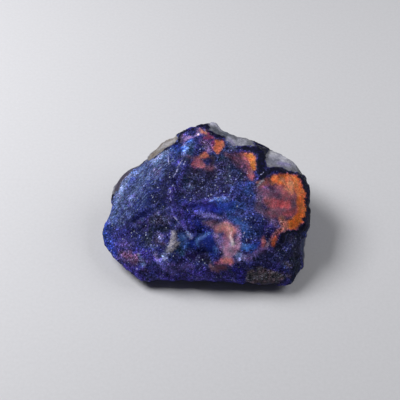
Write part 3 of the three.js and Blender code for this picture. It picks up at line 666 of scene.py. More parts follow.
    wash(Glow.SALMON_BRIGHT, 0.7, 0.6, (2.9, -3.6, 0.1), (3.6, -3.9, 0.3), (3.9, -4.1, 0.25)),
    wash(Glow.LILAC_FADE, 0.6, 0.5, (2.2, -2.7, 0.12), (3.4, -2.6, 0.2)),
    wash(Glow.SALMON_WHITE, 0.9, 0.3, (3.8, -4.5, 0.06), (3.85, -5.2, 0.12), (4.15, -5.9, 0.24),
         (4.2, -6.4, 0.12)),
    wash(Glow.SALMON_WHITE, 0.5, 0.3, (1.75, -4.6, 0.03), (1.8, -5.1, 0.06)),
    wash(Glow.SALMON_LOW, 0.97, 0.8, (2.6, -8.8, 0.35), (3.2, -8.7, 0.55), (3.9, -8.9, 0.35)),
    wash(Glow.RED, 0.85, 0.6, (1.5, -9.1, 0.1), (2.2, -9.2, 0.25)),
    wash(Glow.LILAC_FADE, 0.7, 0.7, (4.5, -8.7, 0.15), (5.0, -8.9, 0.2)),
    wash(Glow.BROWN_PALE, 0.9, 0.5, (0.7, -9.6, 0.2), (1.2, -10.1, 0.4), (1.9, -10.4, 0.25)),
    wash(Glow.BAR_DUSK, 0.95, 0.5, (1.7, -9.7, 0.3), (2.4, -9.8, 0.4), (3.1, -9.7, 0.25)),
    wash(Glow.BAR_DUSK, 0.6, 0.5, (2.6, -10.2, 0.2), (3.2, -10.1, 0.2)),
)

MARBLE_WASHES = (
    wash(Stain.YELLOW, 0.9, 0.8, (-8.6, 7.0, 0.8), (-7.0, 8.6, 0.9), (-5.2, 9.8, 0.8)),
    wash(Stain.ROSY, 0.6, 0.6, (-8.3, 7.6, 0.3)),
    wash(Stain.WHITE, 0.5, 0.5, (-4.9, 9.8, 0.2), (-7.2, 8.5, 0.15)),
    wash(Stain.UMBER, 0.9, 0.5, (-14.2, 1.6, 0.6), (-13.4, 3.6, 0.7), (-12.0, 5.1, 0.7), (-11.0, 5.6, 0.4)),
    wash(Stain.BLUE, 0.8, 0.4, (-14.1, 2.2, 0.2), (-13.9, 2.8, 0.1)),
    wash(Stain.BLUE, 0.7, 0.4, (-12.0, 5.2, 0.1), (-11.2, 5.5, 0.1)),
    wash(Stain.PALE, 0.9, 0.6, (0.8, 12.3, 0.4), (1.8, 12.1, 0.5), (2.6, 11.5, 0.3)),
    wash(Stain.BLUE, 0.6, 0.5, (1.2, 11.3, 0.2), (2.0, 10.9, 0.2)),
    wash(Stain.PALE, 0.85, 0.7, (3.4, 9.9, 0.3), (4.4, 9.2, 0.4), (5.8, 9.5, 0.4)),
    wash(Stain.LILAC, 0.7, 0.5, (3.4, 9.7, 0.2), (4.3, 9.0, 0.2)),
    wash(Stain.PALE, 0.9, 0.8, (9.8, 7.0, 0.8), (11.0, 7.0, 1.1), (12.8, 6.6, 1.0), (13.8, 6.0, 0.5)),
    wash(Stain.BLUE, 0.6, 0.7, (9.4, 6.6, 0.2), (10.4, 6.4, 0.3), (11.2, 6.6, 0.2)),
    wash(Stain.LILAC, 0.8, 0.5, (11.2, 6.1, 0.2), (12.8, 5.9, 0.3)),
    wash(Stain.WHITE, 0.6, 0.7, (11.6, 7.2, 0.2), (13.0, 6.6, 0.4)),
    wash(Stain.WHITE, 0.8, 0.5, (9.9, 8.0, 0.3), (10.6, 7.8, 0.2)),
    wash(Stain.GREEN, 0.7, 0.5, (14.2, 5.9, 0.3), (15.0, 4.7, 0.3)),
    # the flank's marble, partly painted shade
    wash(Stain.FLANK, 0.95, 0.5, (15.0, -5.8, 0.6), (15.0, -8.0, 0.8), (14.8, -9.6, 0.6)),
    wash(Stain.ROSY, 0.6, 0.4, (15.2, -8.6, 0.1), (15.1, -9.4, 0.1)),
)

SPECKLED = (
    band((-0.4, 9.6, 0.5), (0.4, 9.1, 0.7), (0.9, 8.3, 0.4)),
    band((-2.0, 3.4, 0.8), (0.2, 3.0, 1.2), (2.6, 3.2, 1.2)),
    band((-8.0, -2.6, 0.8), (-6.2, -2.7, 0.9), (-5.4, -3.6, 0.5)),
    band((-12.0, -7.2, 0.5), (-11.2, -8.2, 1.0), (-10.2, -8.6, 0.7)),
    band((1.0, -3.6, 0.2), (1.8, -5.2, 0.3), (2.2, -7.0, 0.3)),
    band((5.6, -3.4, 0.4), (5.8, -5.6, 0.4)),
    band((6.9, -11.0, 0.7), (9.4, -10.8, 1.2), (12.4, -11.0, 0.8)),
    band((8.8, -9.0, 0.6), (10.6, -8.8, 0.6)),
    band((11.6, -2.6, 0.4), (11.6, -3.8, 0.5), (10.4, -4.8, 0.5)),
    band((7.0, -1.4, 0.5), (8.8, -2.2, 0.6), (9.6, -3.6, 0.5)),
)
SMOOTH = (
    band((-2.4, -0.3, 0.2), (-0.2, -0.5, 0.6), (1.8, -0.6, 1.0), (3.6, -0.4, 1.0)),
    band((-1.2, -1.5, 0.3), (0.4, -1.9, 0.4), (2.2, -2.4, 0.3)),
    band((-3.4, -5.2, 0.8), (-1.2, -5.6, 1.0), (0.8, -6.0, 1.1), (1.2, -7.2, 0.7)),
    band((5.4, -6.6, 0.6), (7.8, -6.6, 0.6)),
    band((5.2, -8.0, 0.5), (8.4, -7.5, 0.4)),
    band((-9.2, -1.4, 0.4), (-12.0, -2.9, 0.4)),
    band((-9.2, 0.2, 0.9)),
    band((-6.2, 4.2, 0.3), (-6.7, 0.6, 0.5)),
    band((2.0, -4.0, 0.8), (3.6, -4.4, 1.0), (3.6, -7.2, 0.9), (3.2, -8.8, 0.7)),
    band((-3.7, -0.8, 0.2), (-3.7, -3.4, 0.3), (-4.0, -6.2, 0.4)),
    band((2.2, -1.4, 0.3), (4.6, -2.3, 0.4), (6.2, -4.4, 0.4)),
    band((-6.6, -9.7, 0.3), (-5.0, -10.4, 0.5), (-3.4, -9.8, 0.4)),
    band((1.4, -9.8, 0.4), (3.0, -9.8, 0.4)),
)
STREAKED = band((-6.0, 7.4, 1.6), (-9.0, 4.6, 2.2), (-11.6, 1.6, 2.4), (-13.6, -1.8, 1.6))

MARKS = {
    Mark.RIM: (
        band((7.3, 8.3, 0.45), (8.4, 8.3, 0.8), (8.8, 7.6, 0.6), (8.4, 6.4, 0.6), (8.3, 5.2, 0.5),
             (8.6, 4.3, 0.6)),
        band((4.8, 8.6, 0.15), (5.8, 8.5, 0.25), (6.8, 8.25, 0.35), (7.6, 8.3, 0.5)),
        band((9.4, 4.8, 0.3), (10.2, 5.15, 0.35), (11.5, 5.3, 0.35), (12.7, 4.95, 0.27), (13.9, 4.5, 0.22)),
        band((13.9, 4.6, 0.25), (14.8, 3.9, 0.4), (15.4, 2.8, 0.5), (15.7, 1.4, 0.6), (15.8, 0.2, 0.55)),
        band((15.8, 0.2, 0.55), (15.8, -1.3, 0.65), (15.6, -2.6, 0.8), (15.1, -3.5, 0.6), (14.5, -4.2, 0.3)),
        band((14.5, -4.2, 0.3), (12.8, -4.3, 0.25), (12.0, -4.7, 0.3), (11.6, -5.6, 0.35)),
        band((-4.3, 9.7, 0.1), (-4.0, 10.5, 0.15), (-3.4, 11.0, 0.3), (-2.8, 11.1, 0.2)),
        band((-2.1, 11.4, 0.15), (-1.3, 11.9, 0.25), (-0.4, 12.1, 0.3), (0.1, 11.9, 0.4), (0.2, 11.3, 0.2)),
        band((0.3, 11.3, 0.12), (1.0, 10.8, 0.15), (2.1, 10.4, 0.2), (2.8, 10.2, 0.15)),
        band((-7.8, 7.0, 0.05), (-6.5, 8.0, 0.1), (-5.5, 8.8, 0.12), (-4.8, 9.3, 0.15)),
    ),
    Mark.MARBLE: (
        band((1.0, 12.0, 0.8), (1.7, 11.8, 1.0), (2.7, 11.1, 0.75), (3.6, 10.3, 0.85), (4.6, 9.8, 1.0),
             (6.0, 9.6, 0.75)),
        band((6.0, 9.6, 0.6), (7.2, 9.2, 0.35)),
        band((12.2, 5.9, 0.4), (13.4, 5.3, 0.3)),
        band((9.6, 7.0, 0.4), (9.7, 6.0, 0.45), (10.8, 6.3, 0.4)),
        band((9.9, 7.2, 0.9), (10.3, 7.9, 0.7), (10.9, 7.1, 1.3), (12.7, 6.7, 1.3), (14.2, 5.9, 1.1),
             (15.0, 4.9, 0.6)),
        band((-9.3, 6.9, 0.4), (-8.8, 7.4, 0.6), (-7.7, 8.3, 0.8), (-6.5, 9.3, 0.9), (-5.2, 10.2, 0.7)),
        band((-14.3, 1.9, 0.5), (-13.9, 3.3, 0.65), (-12.7, 4.7, 0.6), (-11.2, 5.7, 0.4), (-10.2, 6.0, 0.2)),
        band((15.1, -5.6, 0.2), (15.0, -6.6, 0.5), (15.1, -8.0, 0.35), (15.0, -9.0, 0.2)),
    ),
    # thin pale lines: real white veins, and painted highlights along the crest, the ledge's top edge and the
    # spur
    Mark.THREAD_AND_HIGHLIGHT: (
        band((-2.2, 9.9, 0.03), (-2.8, 9.4, 0.04), (-3.3, 8.9, 0.05)),
        band((-2.4, 9.3, 0.0), (-3.0, 8.6, 0.02), (-3.3, 7.9, 0.02)),
        band((-3.3, 7.8, 0.05), (-3.6, 6.9, 0.07), (-4.1, 6.0, 0.06), (-4.6, 4.9, 0.06), (-5.0, 4.0, 0.04)),
        band((-3.3, 6.6, 0.03), (-3.7, 5.8, 0.04)),
        band((-5.75, 8.0, 0.03), (-5.85, 7.0, 0.05), (-5.7, 6.1, 0.03)),
        band((-6.2, 8.2, 0.03), (-7.0, 7.5, 0.05), (-7.9, 6.8, 0.04)),
        band((-8.1, 6.3, 0.04), (-8.0, 5.4, 0.06), (-8.1, 4.8, 0.04)),
        band((-13.3, 3.3, 0.03), (-12.3, 4.2, 0.05), (-11.2, 4.5, 0.03)),
        band((-5.3, 2.3, 0.07), (-5.6, 1.6, 0.1)),
        band((-5.5, 0.9, 0.05), (-5.4, 0.4, 0.06)),
        band((-5.0, -1.9, 0.05), (-4.2, -2.8, 0.07), (-3.6, -3.5, 0.05)),
        band((-3.4, -4.3, 0.05), (-2.9, -4.7, 0.07), (-2.5, -4.9, 0.05)),
        band((0.6, 0.45, 0.03), (1.6, 0.8, 0.05), (2.8, 1.0, 0.06), (3.6, 1.1, 0.04)),
        band((8.4, 4.4, 0.07), (8.8, 4.8, 0.07)),
        band((5.8, -4.7, 0.06), (6.0, -4.3, 0.08)),
        band((6.3, -5.4, 0.06), (6.3, -5.8, 0.06)),
    ),
    Mark.CRUMB: (
        band((-4.9, -4.3, 0.2), (-4.9, -5.2, 0.5), (-5.0, -6.0, 0.7), (-5.4, -6.7, 0.5), (-5.9, -7.3, 0.15)),
        band((-10.5, -7.7, 0.1)),
        band((7.9, 2.9, 0.1), (8.3, 3.2, 0.12), (8.7, 3.4, 0.08)),
    ),
}

RIDGES = (
    Ridge(line((-1.2, 10.6), (-2.2, 9.7), (-3.1, 8.8), (-3.5, 7.7), (-3.9, 6.7), (-4.4, 5.5), (-4.9, 4.0)),
          0.2, 0.5),
    Ridge(line((-2.9, 6.6), (-3.6, 4.6), (-4.2, 2.6)), 0.3, 1.2),
    Ridge(line((-5.5, 2.2), (-5.6, 1.3), (-5.5, 0.4)), 0.2, 0.6),
    Ridge(line((-4.9, -1.8), (-3.9, -2.7), (-3.4, -3.5), (-2.9, -4.3), (-2.4, -5.0)), 0.28, 0.6),
    Ridge(line((-3.3, -0.1), (-1.6, 0.2), (-0.4, 0.3), (0.9, 0.5), (1.5, 0.7), (2.4, 0.8), (3.5, 0.9)),
          0.2, 0.6),
    Ridge(line((-1.5, -1.3), (-0.2, -1.8), (0.7, -1.9), (2.0, -2.3)), 0.15, 0.5),
    Ridge(line((-6.6, 0.1), (-8.0, -0.8), (-9.5, -1.6), (-10.6, -2.4), (-11.7, -2.9), (-13.2, -3.3)),
          -0.3, 0.9),
    Ridge(line((3.7, -4.2), (4.1, -5.4), (4.1, -6.6)), 0.22, 0.8),
    Ridge(line((-4.9, -4.6), (-4.8, -5.8), (-5.4, -6.7)), 0.35, 0.8),
    Ridge(line((-2.5, -7.1), (-0.9, -7.5), (1.3, -7.6)), -0.2, 0.8),
    Ridge(line((9.9, 8.6), (9.4, 7.6)), -0.4, 0.6),
    Ridge(line((-3.0, 11.8), (-2.2, 11.8)), -0.8, 0.8),
    Ridge(line((-15.9, -6.4), (-14.7, -8.4), (-12.7, -10.3), (-10.4, -11.8)), 0.2, 1.4),
    Ridge(line((0.8, 12.5), (2.2, 12.4)), 0.45, 0.9),
    Ridge(line((8.0, 9.5), (9.6, 8.9)), -0.5, 0.7),
)


@dataclass(frozen=True)
class Grain:
    """One size of scoop or lump in the stone's relief."""

    size: float
    depth: float
    tilt: float


@dataclass(frozen=True)
class Noise:
    """Cloudy noise in space."""

    size: float  # mm across the largest lumps
    detail: float  # how many finer sizes there are
    roughness: float  # how strong the finer ones are


@dataclass(frozen=True)
class Clouds(Noise):
    """Noise drawn out between two levels into a soft mask."""

    low: float
    high: float
    start: float = 0.0
    end: float = 1.0


@dataclass(frozen=True)
class CrystalLayer:
    """One size of crystal grain in the crust."""

    size: float
    unlit: float  # the share of the grains that don't catch the light
    brightness: float
    swing: float  # how far the grains' tones lie apart


@dataclass
class Graph:
    """A material's node tree, with a short call for each kind of step that the finishes take."""

    material: bpy.types.Material

    @classmethod
    def begin(cls, name: str) -> Graph:
        """Makes a material with its nodes.

        Args:
            name: The material's name.

        Returns:
            The graph of the new material.
        """
        material = bpy.data.materials.new(name)
        material.use_nodes = True
        return cls(material)

    @property
    def shader(self) -> bpy.types.Node:
        """The node that everything is fed into."""
        return self.material.node_tree.nodes["Principled BSDF"]

    def add(self, kind: str, **settings: object) -> bpy.types.Node:
        """Adds a node and sets what it is told to.

        Args:
            kind: The node's type.
            **settings: The node's own settings by name.

        Returns:
            The node.
        """
        node = self.material.node_tree.nodes.new(kind)
        for name, value in settings.items():
            setattr(node, name, value)
        return node

    def feed(self, target: Socket, value: object) -> None:
        """Links a socket to an input, or sets the input where the value is plain.

        Args:
            target: The input.
            value: A socket, a number or a colour.
        """
        if isinstance(value, Socket):
            self.material.node_tree.links.new(value, target)
        else:
            target.default_value = value

    def places(self, stretch: Triple = (1, 1, 1), turn: Triple = (0, 0, 0)) -> Socket:
        """Object coordinates in mm, drawn out along their own axes after a turn.

        Args:
            stretch: How far the pattern is drawn out along each axis.
            turn: The turn of those axes as Euler angles.

        Returns:
            The vector socket.
        """
        coordinates = self.add("ShaderNodeTexCoord")
        mapping = self.add("ShaderNodeMapping", vector_type="TEXTURE")
        mapping.inputs["Scale"].default_value = [s * MM for s in stretch]
        mapping.inputs["Rotation"].default_value = turn
        self.feed(mapping.inputs["Vector"], coordinates.outputs["Object"])
        return mapping.outputs["Vector"]

    def noise(self, where: Socket, look: Noise) -> Socket:
        """Noise from 0 to 1.

        Args:
            where: Places in mm.
            look: What it is like.

        Returns:
            The noise.
        """
        node = self.add("ShaderNodeTexNoise")
        node.inputs["Scale"].default_value = 1 / look.size
        node.inputs["Detail"].default_value = look.detail
        node.inputs["Roughness"].default_value = look.roughness
        self.feed(node.inputs["Vector"], where)
        return node.outputs["Fac"]

    def stir(self, where: Socket, look: Noise) -> Socket:
        """Noise from -0.5 to 0.5, to move an edge to and fro."""
        return self.reckon("SUBTRACT", self.noise(where, look), 0.5)

    def clouds(self, where: Socket, look: Clouds) -> Socket:
        """Noise as a mask, from `look.start` to `look.end`."""
        return self.band(self.noise(where, look), look.low, look.high, look.start, look.end)

    def bent(self, where: Socket, size: float, reach: float) -> Socket:
        """Places pushed about by noise, so that what is laid out on them loses its straight edges.

        Args:
            where: Places in mm.
            size: Width of the noise's lumps in mm.
            reach: How far it pushes, in mm.

        Returns:
            The pushed places.
        """
        node = self.add("ShaderNodeTexNoise")
        node.inputs["Scale"].default_value = 1 / size
        node.inputs["Detail"].default_value = 1.0
        self.feed(node.inputs["Vector"], where)
        push = self.add("ShaderNodeVectorMath", operation="MULTIPLY_ADD")
        self.feed(push.inputs[0], node.outputs["Color"])
        push.inputs[1].default_value = (reach, reach, reach)
        self.feed(push.inputs[2], where)
        return push.outputs["Vector"]

    def crystals(self, where: Socket, size: float) -> bpy.types.Node:
        """Splits space into cells.

        Args:
            where: Places in mm.
            size: Width of a cell in mm.

        Returns:
            The node, which gives the distance from a cell's heart and a random colour for each cell.
        """
        node = self.add("ShaderNodeTexVoronoi")
        node.inputs["Scale"].default_value = 1 / size
        self.feed(node.inputs["Vector"], where)
        return node

    def lots(self, cells: bpy.types.Node) -> tuple[Socket, Socket]:
        """Draws two lots for each cell.

        Args:
            cells: The node that `crystals` makes.

        Returns:
            Two random numbers from 0 to 1, each the same throughout a cell.
        """
        shares = self.add("ShaderNodeSeparateColor")
        self.feed(shares.inputs["Color"], cells.outputs["Color"])
        return shares.outputs["Red"], shares.outputs["Green"]

    def mark(self, name: str, output: str = "Fac") -> Socket:
        """The value of one of the mesh's own attributes."""
        return self.add("ShaderNodeAttribute", attribute_name=name).outputs[output]

    def reckon(self, operation: str, first: object, second: object) -> Socket:
        """Takes one step of arithmetic.

        Args:
            operation: Which one.
            first: A socket or a number.
            second: Another.

        Returns:
            The result.
        """
        node = self.add("ShaderNodeMath", operation=operation)
        self.feed(node.inputs[0], first)
        self.feed(node.inputs[1], second)
        return node.outputs[0]

    def product(self, first: Socket, *others: object) -> Socket:
        """Multiplies all that it is given.

        Args:
            first: A socket.
            *others: Sockets or numbers.

        Returns:
            The product.
        """
        for other in others:
            first = self.reckon("MULTIPLY", first, other)
        return first

    def band(self, value: object, low: float, high: float, start: float = 0.0, end: float = 1.0) -> Socket:
        """Eases from one level to another as a value rises.

        Args:
            value: The value.
            low: Where it starts to change.
            high: Where it stops.
            start: The level at `low`.
            end: The level at `high`.

        Returns:
            The level.
        """
        node = self.add("ShaderNodeMapRange", interpolation_type="SMOOTHSTEP")
        for name, number in (("From Min", low), ("From Max", high), ("To Min", start), ("To Max", end)):
            node.inputs[name].default_value = number
        self.feed(node.inputs["Value"], value)
        return node.outputs["Result"]

    def blend(self, amount: object, under: object, over: object, kind: str = "MIX") -> Socket:
        """Lays one colour over another.

        Args:
            amount: How much of the upper one shows, from 0 to 1.
            under: The lower colour.
            over: The upper colour.
            kind: The way they mix.

        Returns:
            The colour.
        """
        node = self.add("ShaderNodeMix", data_type="RGBA", blend_type=kind, clamp_result=False)
        for socket, value in zip(COLOUR_MIX, (amount, under, over)):
            self.feed(node.inputs[socket], value)
        return node.outputs[2]

    def shaded(self, colour: object, by: object) -> Socket:
        """A colour multiplied by another."""
        return self.blend(1.0, colour, by, "MULTIPLY")

    def swing(self, amount: object, low: float, high: float) -> Socket:
        """A grey that goes from `low` to `high`, to darken or brighten a colour by."""
        return self.blend(amount, self.grey(low), self.grey(high))

    @staticmethod
    def grey(level: float) -> Colour:
        """A grey as the value of a colour socket."""
        return (level, level, level, 1.0)


def paint(tint: str) -> Colour:
    """A screen colour as the value of a colour socket."""
    return (*(float(c) for c in linear(tint)), 1.0)


@dataclass(frozen=True)
class RockFinish:
    """The stone's finish: sugary crust with painted glints, dark rims, pale marble and stray grains."""

    gloss: float = 0.14
    sheen: Colour = (0.45, 0.55, 1.0, 1.0)
    weave: Clouds = Clouds(0.5, 5.0, 0.8, 0.44, 0.56)  # which of the two lays of ground shows
    mottle: Clouds = Clouds(0.9, 5.0, 0.75, 0.32, 0.68)
    mottle_swing: Pair = (0.45, 1.45)
    sugar_levels: Pair = (0.0, 0.5)  # the sugar of smooth crust, and of crust with all its mottle
    smooth_mottle: float = 0.35  # how much of the mottle smooth crust keeps
    hue: Clouds = Clouds(0.7, 4.0, 0.7, 0.35, 0.65)
    hue_turn: Triple = (0.4, 0.9, 0.2)
    cool: Colour = (0.8, 1.02, 1.0, 1.0)
    plummy: Colour = (1.2, 0.94, 1.0, 1.0)
    fine: Clouds = Clouds(0.2, 2.0, 0.8, 0.34, 0.66)
    fine_swing: Pair = (0.35, 1.7)
    smooth_fine: float = 0.4
    pit: str = "#080818"
    pits: Clouds = Clouds(0.7, 5.0, 0.7, 0.44, 0.36)
    streak: str = "#8098c8"
    streaks: Clouds = Clouds(0.26, 5.0, 0.9, 0.52, 0.63)
    streak_stretch: Triple = (6.0, 1.0, 1.0)
    streak_turn: Triple = (0.0, -0.49, 0.70)
    streak_strength: float = 0.85
    # painted glints: the pale colours that grains which catch the light are brightened towards
    glint_colour: str = "#8890c0"
    warm_glint_colour: str = "#d0b0c0"
    glint_colour_share: float = 0.25
    lift: float = 4.0  # how many times brighter a grain with a painted glint is
    grain_layers: tuple[CrystalLayer, ...] = (
        CrystalLayer(0.34, 0.88, 0.5, 0.15),
        CrystalLayer(0.17, 0.7, 1.0, 0.65),
    )
    grain_bend: float = 0.3  # how far a grain's edges stray, as a share of its width
    grain_swarms: Clouds = Clouds(1.6, 4.0, 0.7, 0.36, 0.62, 0.12, 1.0)
    # painted glints: the colour of the single bright sparks
    spark: str = "#d0d8f0"
    spark_layers: tuple[Pair, ...] = ((0.8, 0.5), (0.45, 0.55))  # cell in mm, share left dark
    spark_fray: Noise = Noise(0.25, 4.0, 0.8)
    spark_edge: Pair = (0.12, 0.03)  # mm from a spark's heart where it starts and where it is full
    spark_swarms: Clouds = Clouds(1.1, 3.0, 0.7, 0.44, 0.58, 0.3, 1.0)
    fray: Noise = Noise(0.6, 4.0, 0.7)  # at the edges of the marble, rims and threads
    marble_clouds: Clouds = Clouds(0.6, 5.0, 0.8, 0.3, 0.7)
    marble_swing: Pair = (0.7, 1.3)
    marble_edge: Pair = (1.0, 0.15)  # mm that noise moves the edge, and its width
    vein: str = "#303040"
    veins: Noise = Noise(1.6, 4.0, 0.6)
    vein_width: float = 0.04
    vein_strength: float = 0.35
    rim: str = "#101020"
    rim_sheen: str = "#282068"
    rim_sheens: Clouds = Clouds(0.5, 4.0, 0.8, 0.52, 0.72)
    rim_edge: Pair = (1.1, 0.22)
    # pale lines: real veins, and painted highlights on lit edges
    thread_and_highlight: str = "#b8b8e8"
    thread_breaks: Clouds = Clouds(0.5, 3.0, 0.6, 0.36, 0.52, 0.15, 1.0)
    thread_edge: Pair = (0.3, 0.12)
    crumb: str = "#d0c8d0"
    crumb_shade: str = "#787890"
    crumb_mottle: Clouds = Clouds(0.3, 4.0, 0.85, 0.4, 0.6)
    crumb_breaks: Clouds = Clouds(0.24, 4.0, 0.85, 0.38, 0.5, 0.4, 1.0)
    crumb_fray: Noise = Noise(0.4, 4.0, 0.8)
    crumb_edge: Pair = (1.4, 0.6)
    facet: float = 0.35  # mm across the glassy faces
    facet_lots: Pair = (0.7, 0.95)  # the lots between which a face turns glassy
    satin: float = 0.62
    glassy: float = 0.26
    bump_lumps: Noise = Noise(0.3, 3.0, 0.65)
    bump_facet: float = 0.32
    bump_strength: float = 0.7
    bump_height: float = 0.08

    def material(self) -> bpy.types.Material:
        """Builds the material.

        Returns:
            The material, which reads the mesh's own attributes and Object coordinates.
        """
        graph = Graph.begin("blue_rock")
        where = graph.places()
        colour = self.crust(graph, where)
        colour = self.marks(graph, where, colour)
        inputs = graph.shader.inputs
        graph.feed(inputs["Base Color"], colour)
        graph.feed(inputs["Roughness"], self.roughness(graph, where))
        graph.feed(inputs["Normal"], self.bump(graph, where))
        inputs["Specular IOR Level"].default_value = self.gloss
        inputs["Specular Tint"].default_value = self.sheen
        return graph.material

    def crust(self, graph: Graph, where: Socket) -> Socket:
        """The crust: two lays of the ground colour, frayed into one another, grained, pitted and streaked.

        Args:
            graph: The material's nodes.
            where: Places in mm.

        Returns:
            The crust's colour.
        """
        sugar = graph.mark("sugar")
        lays = [graph.mark(name, "Color") for name in GROUNDS]
        ground = graph.blend(graph.clouds(where, self.weave), *lays)
        mottled = graph.shaded(ground, graph.swing(graph.clouds(where, self.mottle), *self.mottle_swing))
        colour = graph.blend(graph.band(sugar, *self.sugar_levels, self.smooth_mottle), ground, mottled)
        hue = graph.clouds(graph.places(turn=self.hue_turn), self.hue)
        colour = graph.shaded(colour, graph.blend(hue, self.cool, self.plummy))
        fined = graph.shaded(colour, graph.swing(graph.clouds(where, self.fine), *self.fine_swing))
        colour = graph.blend(graph.band(sugar, *self.sugar_levels, self.smooth_fine), colour, fined)
        colour = self.grained(graph, where, sugar, colour)
        pits = graph.product(graph.clouds(where, self.pits), sugar)
        colour = graph.blend(pits, colour, paint(self.pit))
        along = graph.places(self.streak_stretch, self.streak_turn)
        streaks = graph.product(graph.clouds(along, self.streaks), graph.mark("streak"))
        return graph.blend(graph.product(streaks, self.streak_strength), colour, paint(self.streak))

    def grained(self, graph: Graph, where: Socket, sugar: Socket, colour: Socket) -> Socket:
        """Breaks a colour into crystal grains, some of which get a painted glint.

        Args:
            graph: The material's nodes.
            where: Places in mm.
            sugar: How sugary each place is, about 0 to 1.
            colour: The colour so far.

        Returns:
            The grained colour.
        """
        glint_colour = graph.blend(graph.mark("warm"), paint(self.glint_colour), paint(self.warm_glint_colour))
        swarm = graph.clouds(where, self.grain_swarms)
        for layer in self.grain_layers:
            bent = graph.bent(where, layer.size, self.grain_bend * layer.size)
            tone, luck = graph.lots(graph.crystals(bent, layer.size))
            toned = graph.shaded(colour, graph.swing(tone, 1 - layer.swing, 1 + layer.swing))
            colour = graph.blend(graph.reckon("MINIMUM", sugar, 1.0), colour, toned)
            lit = graph.band(luck, layer.unlit, 1.0, 0.0, layer.brightness)
            brighter = graph.blend(self.glint_colour_share, graph.shaded(colour, graph.grey(self.lift)), glint_colour)
            colour = graph.blend(graph.product(lit, sugar, swarm), colour, brighter)
        return graph.blend(self.sparks(graph, where, sugar), colour, paint(self.spark))

    def sparks(self, graph: Graph, where: Socket, sugar: Socket) -> Socket:
        """Painted glints: single bright crystals of uneven size, in few of the cells.

        Args:
            graph: The material's nodes.
            where: Places in mm.
            sugar: How sugary each place is, about 0 to 1.

        Returns:
            How bright a spark each place shows, from 0 to 1.
        """
        ragged = graph.stir(where, self.spark_fray)
        shown = None
        for size, left_dark in self.spark_layers:
            cells = graph.crystals(where, size)
            chosen = graph.band(graph.lots(cells)[0], left_dark, 1.0)
            reach = graph.reckon("ADD", cells.outputs["Distance"], ragged)
            starts, full = (edge / size for edge in self.spark_edge)
            spark = graph.product(chosen, graph.band(reach, starts, full))
            shown = spark if shown is None else graph.reckon("MAXIMUM", shown, spark)
        return graph.product(shown, sugar, graph.clouds(where, self.spark_swarms))

    def edge(self, graph: Graph, mark: Mark, fray: Socket, look: Pair) -> Socket:
        """Where a mark shows, with its edge frayed.

        Args:
            graph: The material's nodes.
            mark: Which mark.
            fray: Noise from -0.5 to 0.5.
            look: How far the noise moves the edge, and how wide the edge is, in mm.

        Returns:
            1 inside the mark and 0 outside it.
        """
        reach, soft = look
        moved = graph.reckon("ADD", graph.mark(mark.value), graph.product(fray, reach))
        return graph.band(moved, -soft / 2, soft / 2)

    def stone_white(self, graph: Graph, where: Socket) -> Socket:
        """The marble: the mesh's soft marble colour, clouded and crossed by dark veins.

        Args:
            graph: The material's nodes.
            where: Places in mm.

        Returns:
            The marble's colour.
        """
        pale = graph.mark("pale", "Color")
        colour = graph.shaded(pale, graph.swing(graph.clouds(where, self.marble_clouds), *self.marble_swing))
        ridge = graph.reckon("ABSOLUTE", graph.stir(where, self.veins), 0)
        veins = graph.product(graph.band(ridge, self.vein_width, 0.0), self.vein_strength)
        return graph.blend(veins, colour, paint(self.vein))

    def marks(self, graph: Graph, where: Socket, colour: Socket) -> Socket:
        """Lays the marble, rims, threads with painted highlights, and crumbs over the crust.

        Args:
            graph: The material's nodes.
            where: Places in mm.
            colour: The crust's colour.

        Returns:
            The colour of the whole stone.
        """
        fray = graph.stir(where, self.fray)
        marble = self.edge(graph, Mark.MARBLE, fray, self.marble_edge)
        colour = graph.blend(marble, colour, self.stone_white(graph, where))
        rim = graph.blend(graph.clouds(where, self.rim_sheens), paint(self.rim), paint(self.rim_sheen))
        colour = graph.blend(self.edge(graph, Mark.RIM, fray, self.rim_edge), colour, rim)
        broken = graph.clouds(where, self.thread_breaks)
        thread_and_highlight = graph.product(self.edge(graph, Mark.THREAD_AND_HIGHLIGHT, fray, self.thread_edge), broken)
        colour = graph.blend(thread_and_highlight, colour, paint(self.thread_and_highlight))
        mottle = graph.clouds(where, self.crumb_mottle)
        crumb = graph.blend(mottle, paint(self.crumb_shade), paint(self.crumb))
        ragged = graph.stir(where, self.crumb_fray)
        broken = graph.clouds(where, self.crumb_breaks)
        shown = graph.product(self.edge(graph, Mark.CRUMB, ragged, self.crumb_edge), broken)
        return graph.blend(shown, colour, crumb)

    def roughness(self, graph: Graph, where: Socket) -> Socket:
        """Satin all over, with glassy crystal faces here and there."""
        luck, _ = graph.lots(graph.crystals(where, self.facet))
        return graph.band(luck, *self.facet_lots, self.satin, self.glassy)

    def bump(self, graph: Graph, where: Socket) -> Socket:
        """Grain too fine for the mesh.

        Args:
            graph: The material's nodes.
            where: Places in mm.

        Returns:
            The normal.
        """
        lumps = graph.noise(where, self.bump_lumps)
        facets = graph.crystals(where, self.bump_facet).outputs["Distance"]
        height = graph.reckon("ADD", lumps, graph.product(facets, graph.mark("sugar")))
        node = graph.add("ShaderNodeBump")
        node.inputs["Strength"].default_value = self.bump_strength
        node.inputs["Distance"].default_value = self.bump_height * MM
        graph.feed(node.inputs["Height"], height)
        return node.outputs["Normal"]


@dataclass(frozen=True)
class FloorFinish:
    """A plain pale floor with a faint fine grain."""

    colour: str = "#d0d0d4"
    grain: Noise = Noise(0.5, 2.0, 0.6)
    swing: Pair = (0.94, 1.06)
    roughness: float = 0.7

    def material(self) -> bpy.types.Material:
        """Builds the material.

        Returns:
            The material.
        """
        graph = Graph.begin("pale_floor")
        grain = graph.noise(graph.places(), self.grain)
        shade = graph.shaded(paint(self.colour), graph.swing(grain, *self.swing))
        graph.feed(graph.shader.inputs["Base Color"], shade)
        graph.shader.inputs["Roughness"].default_value = self.roughness
        return graph.material


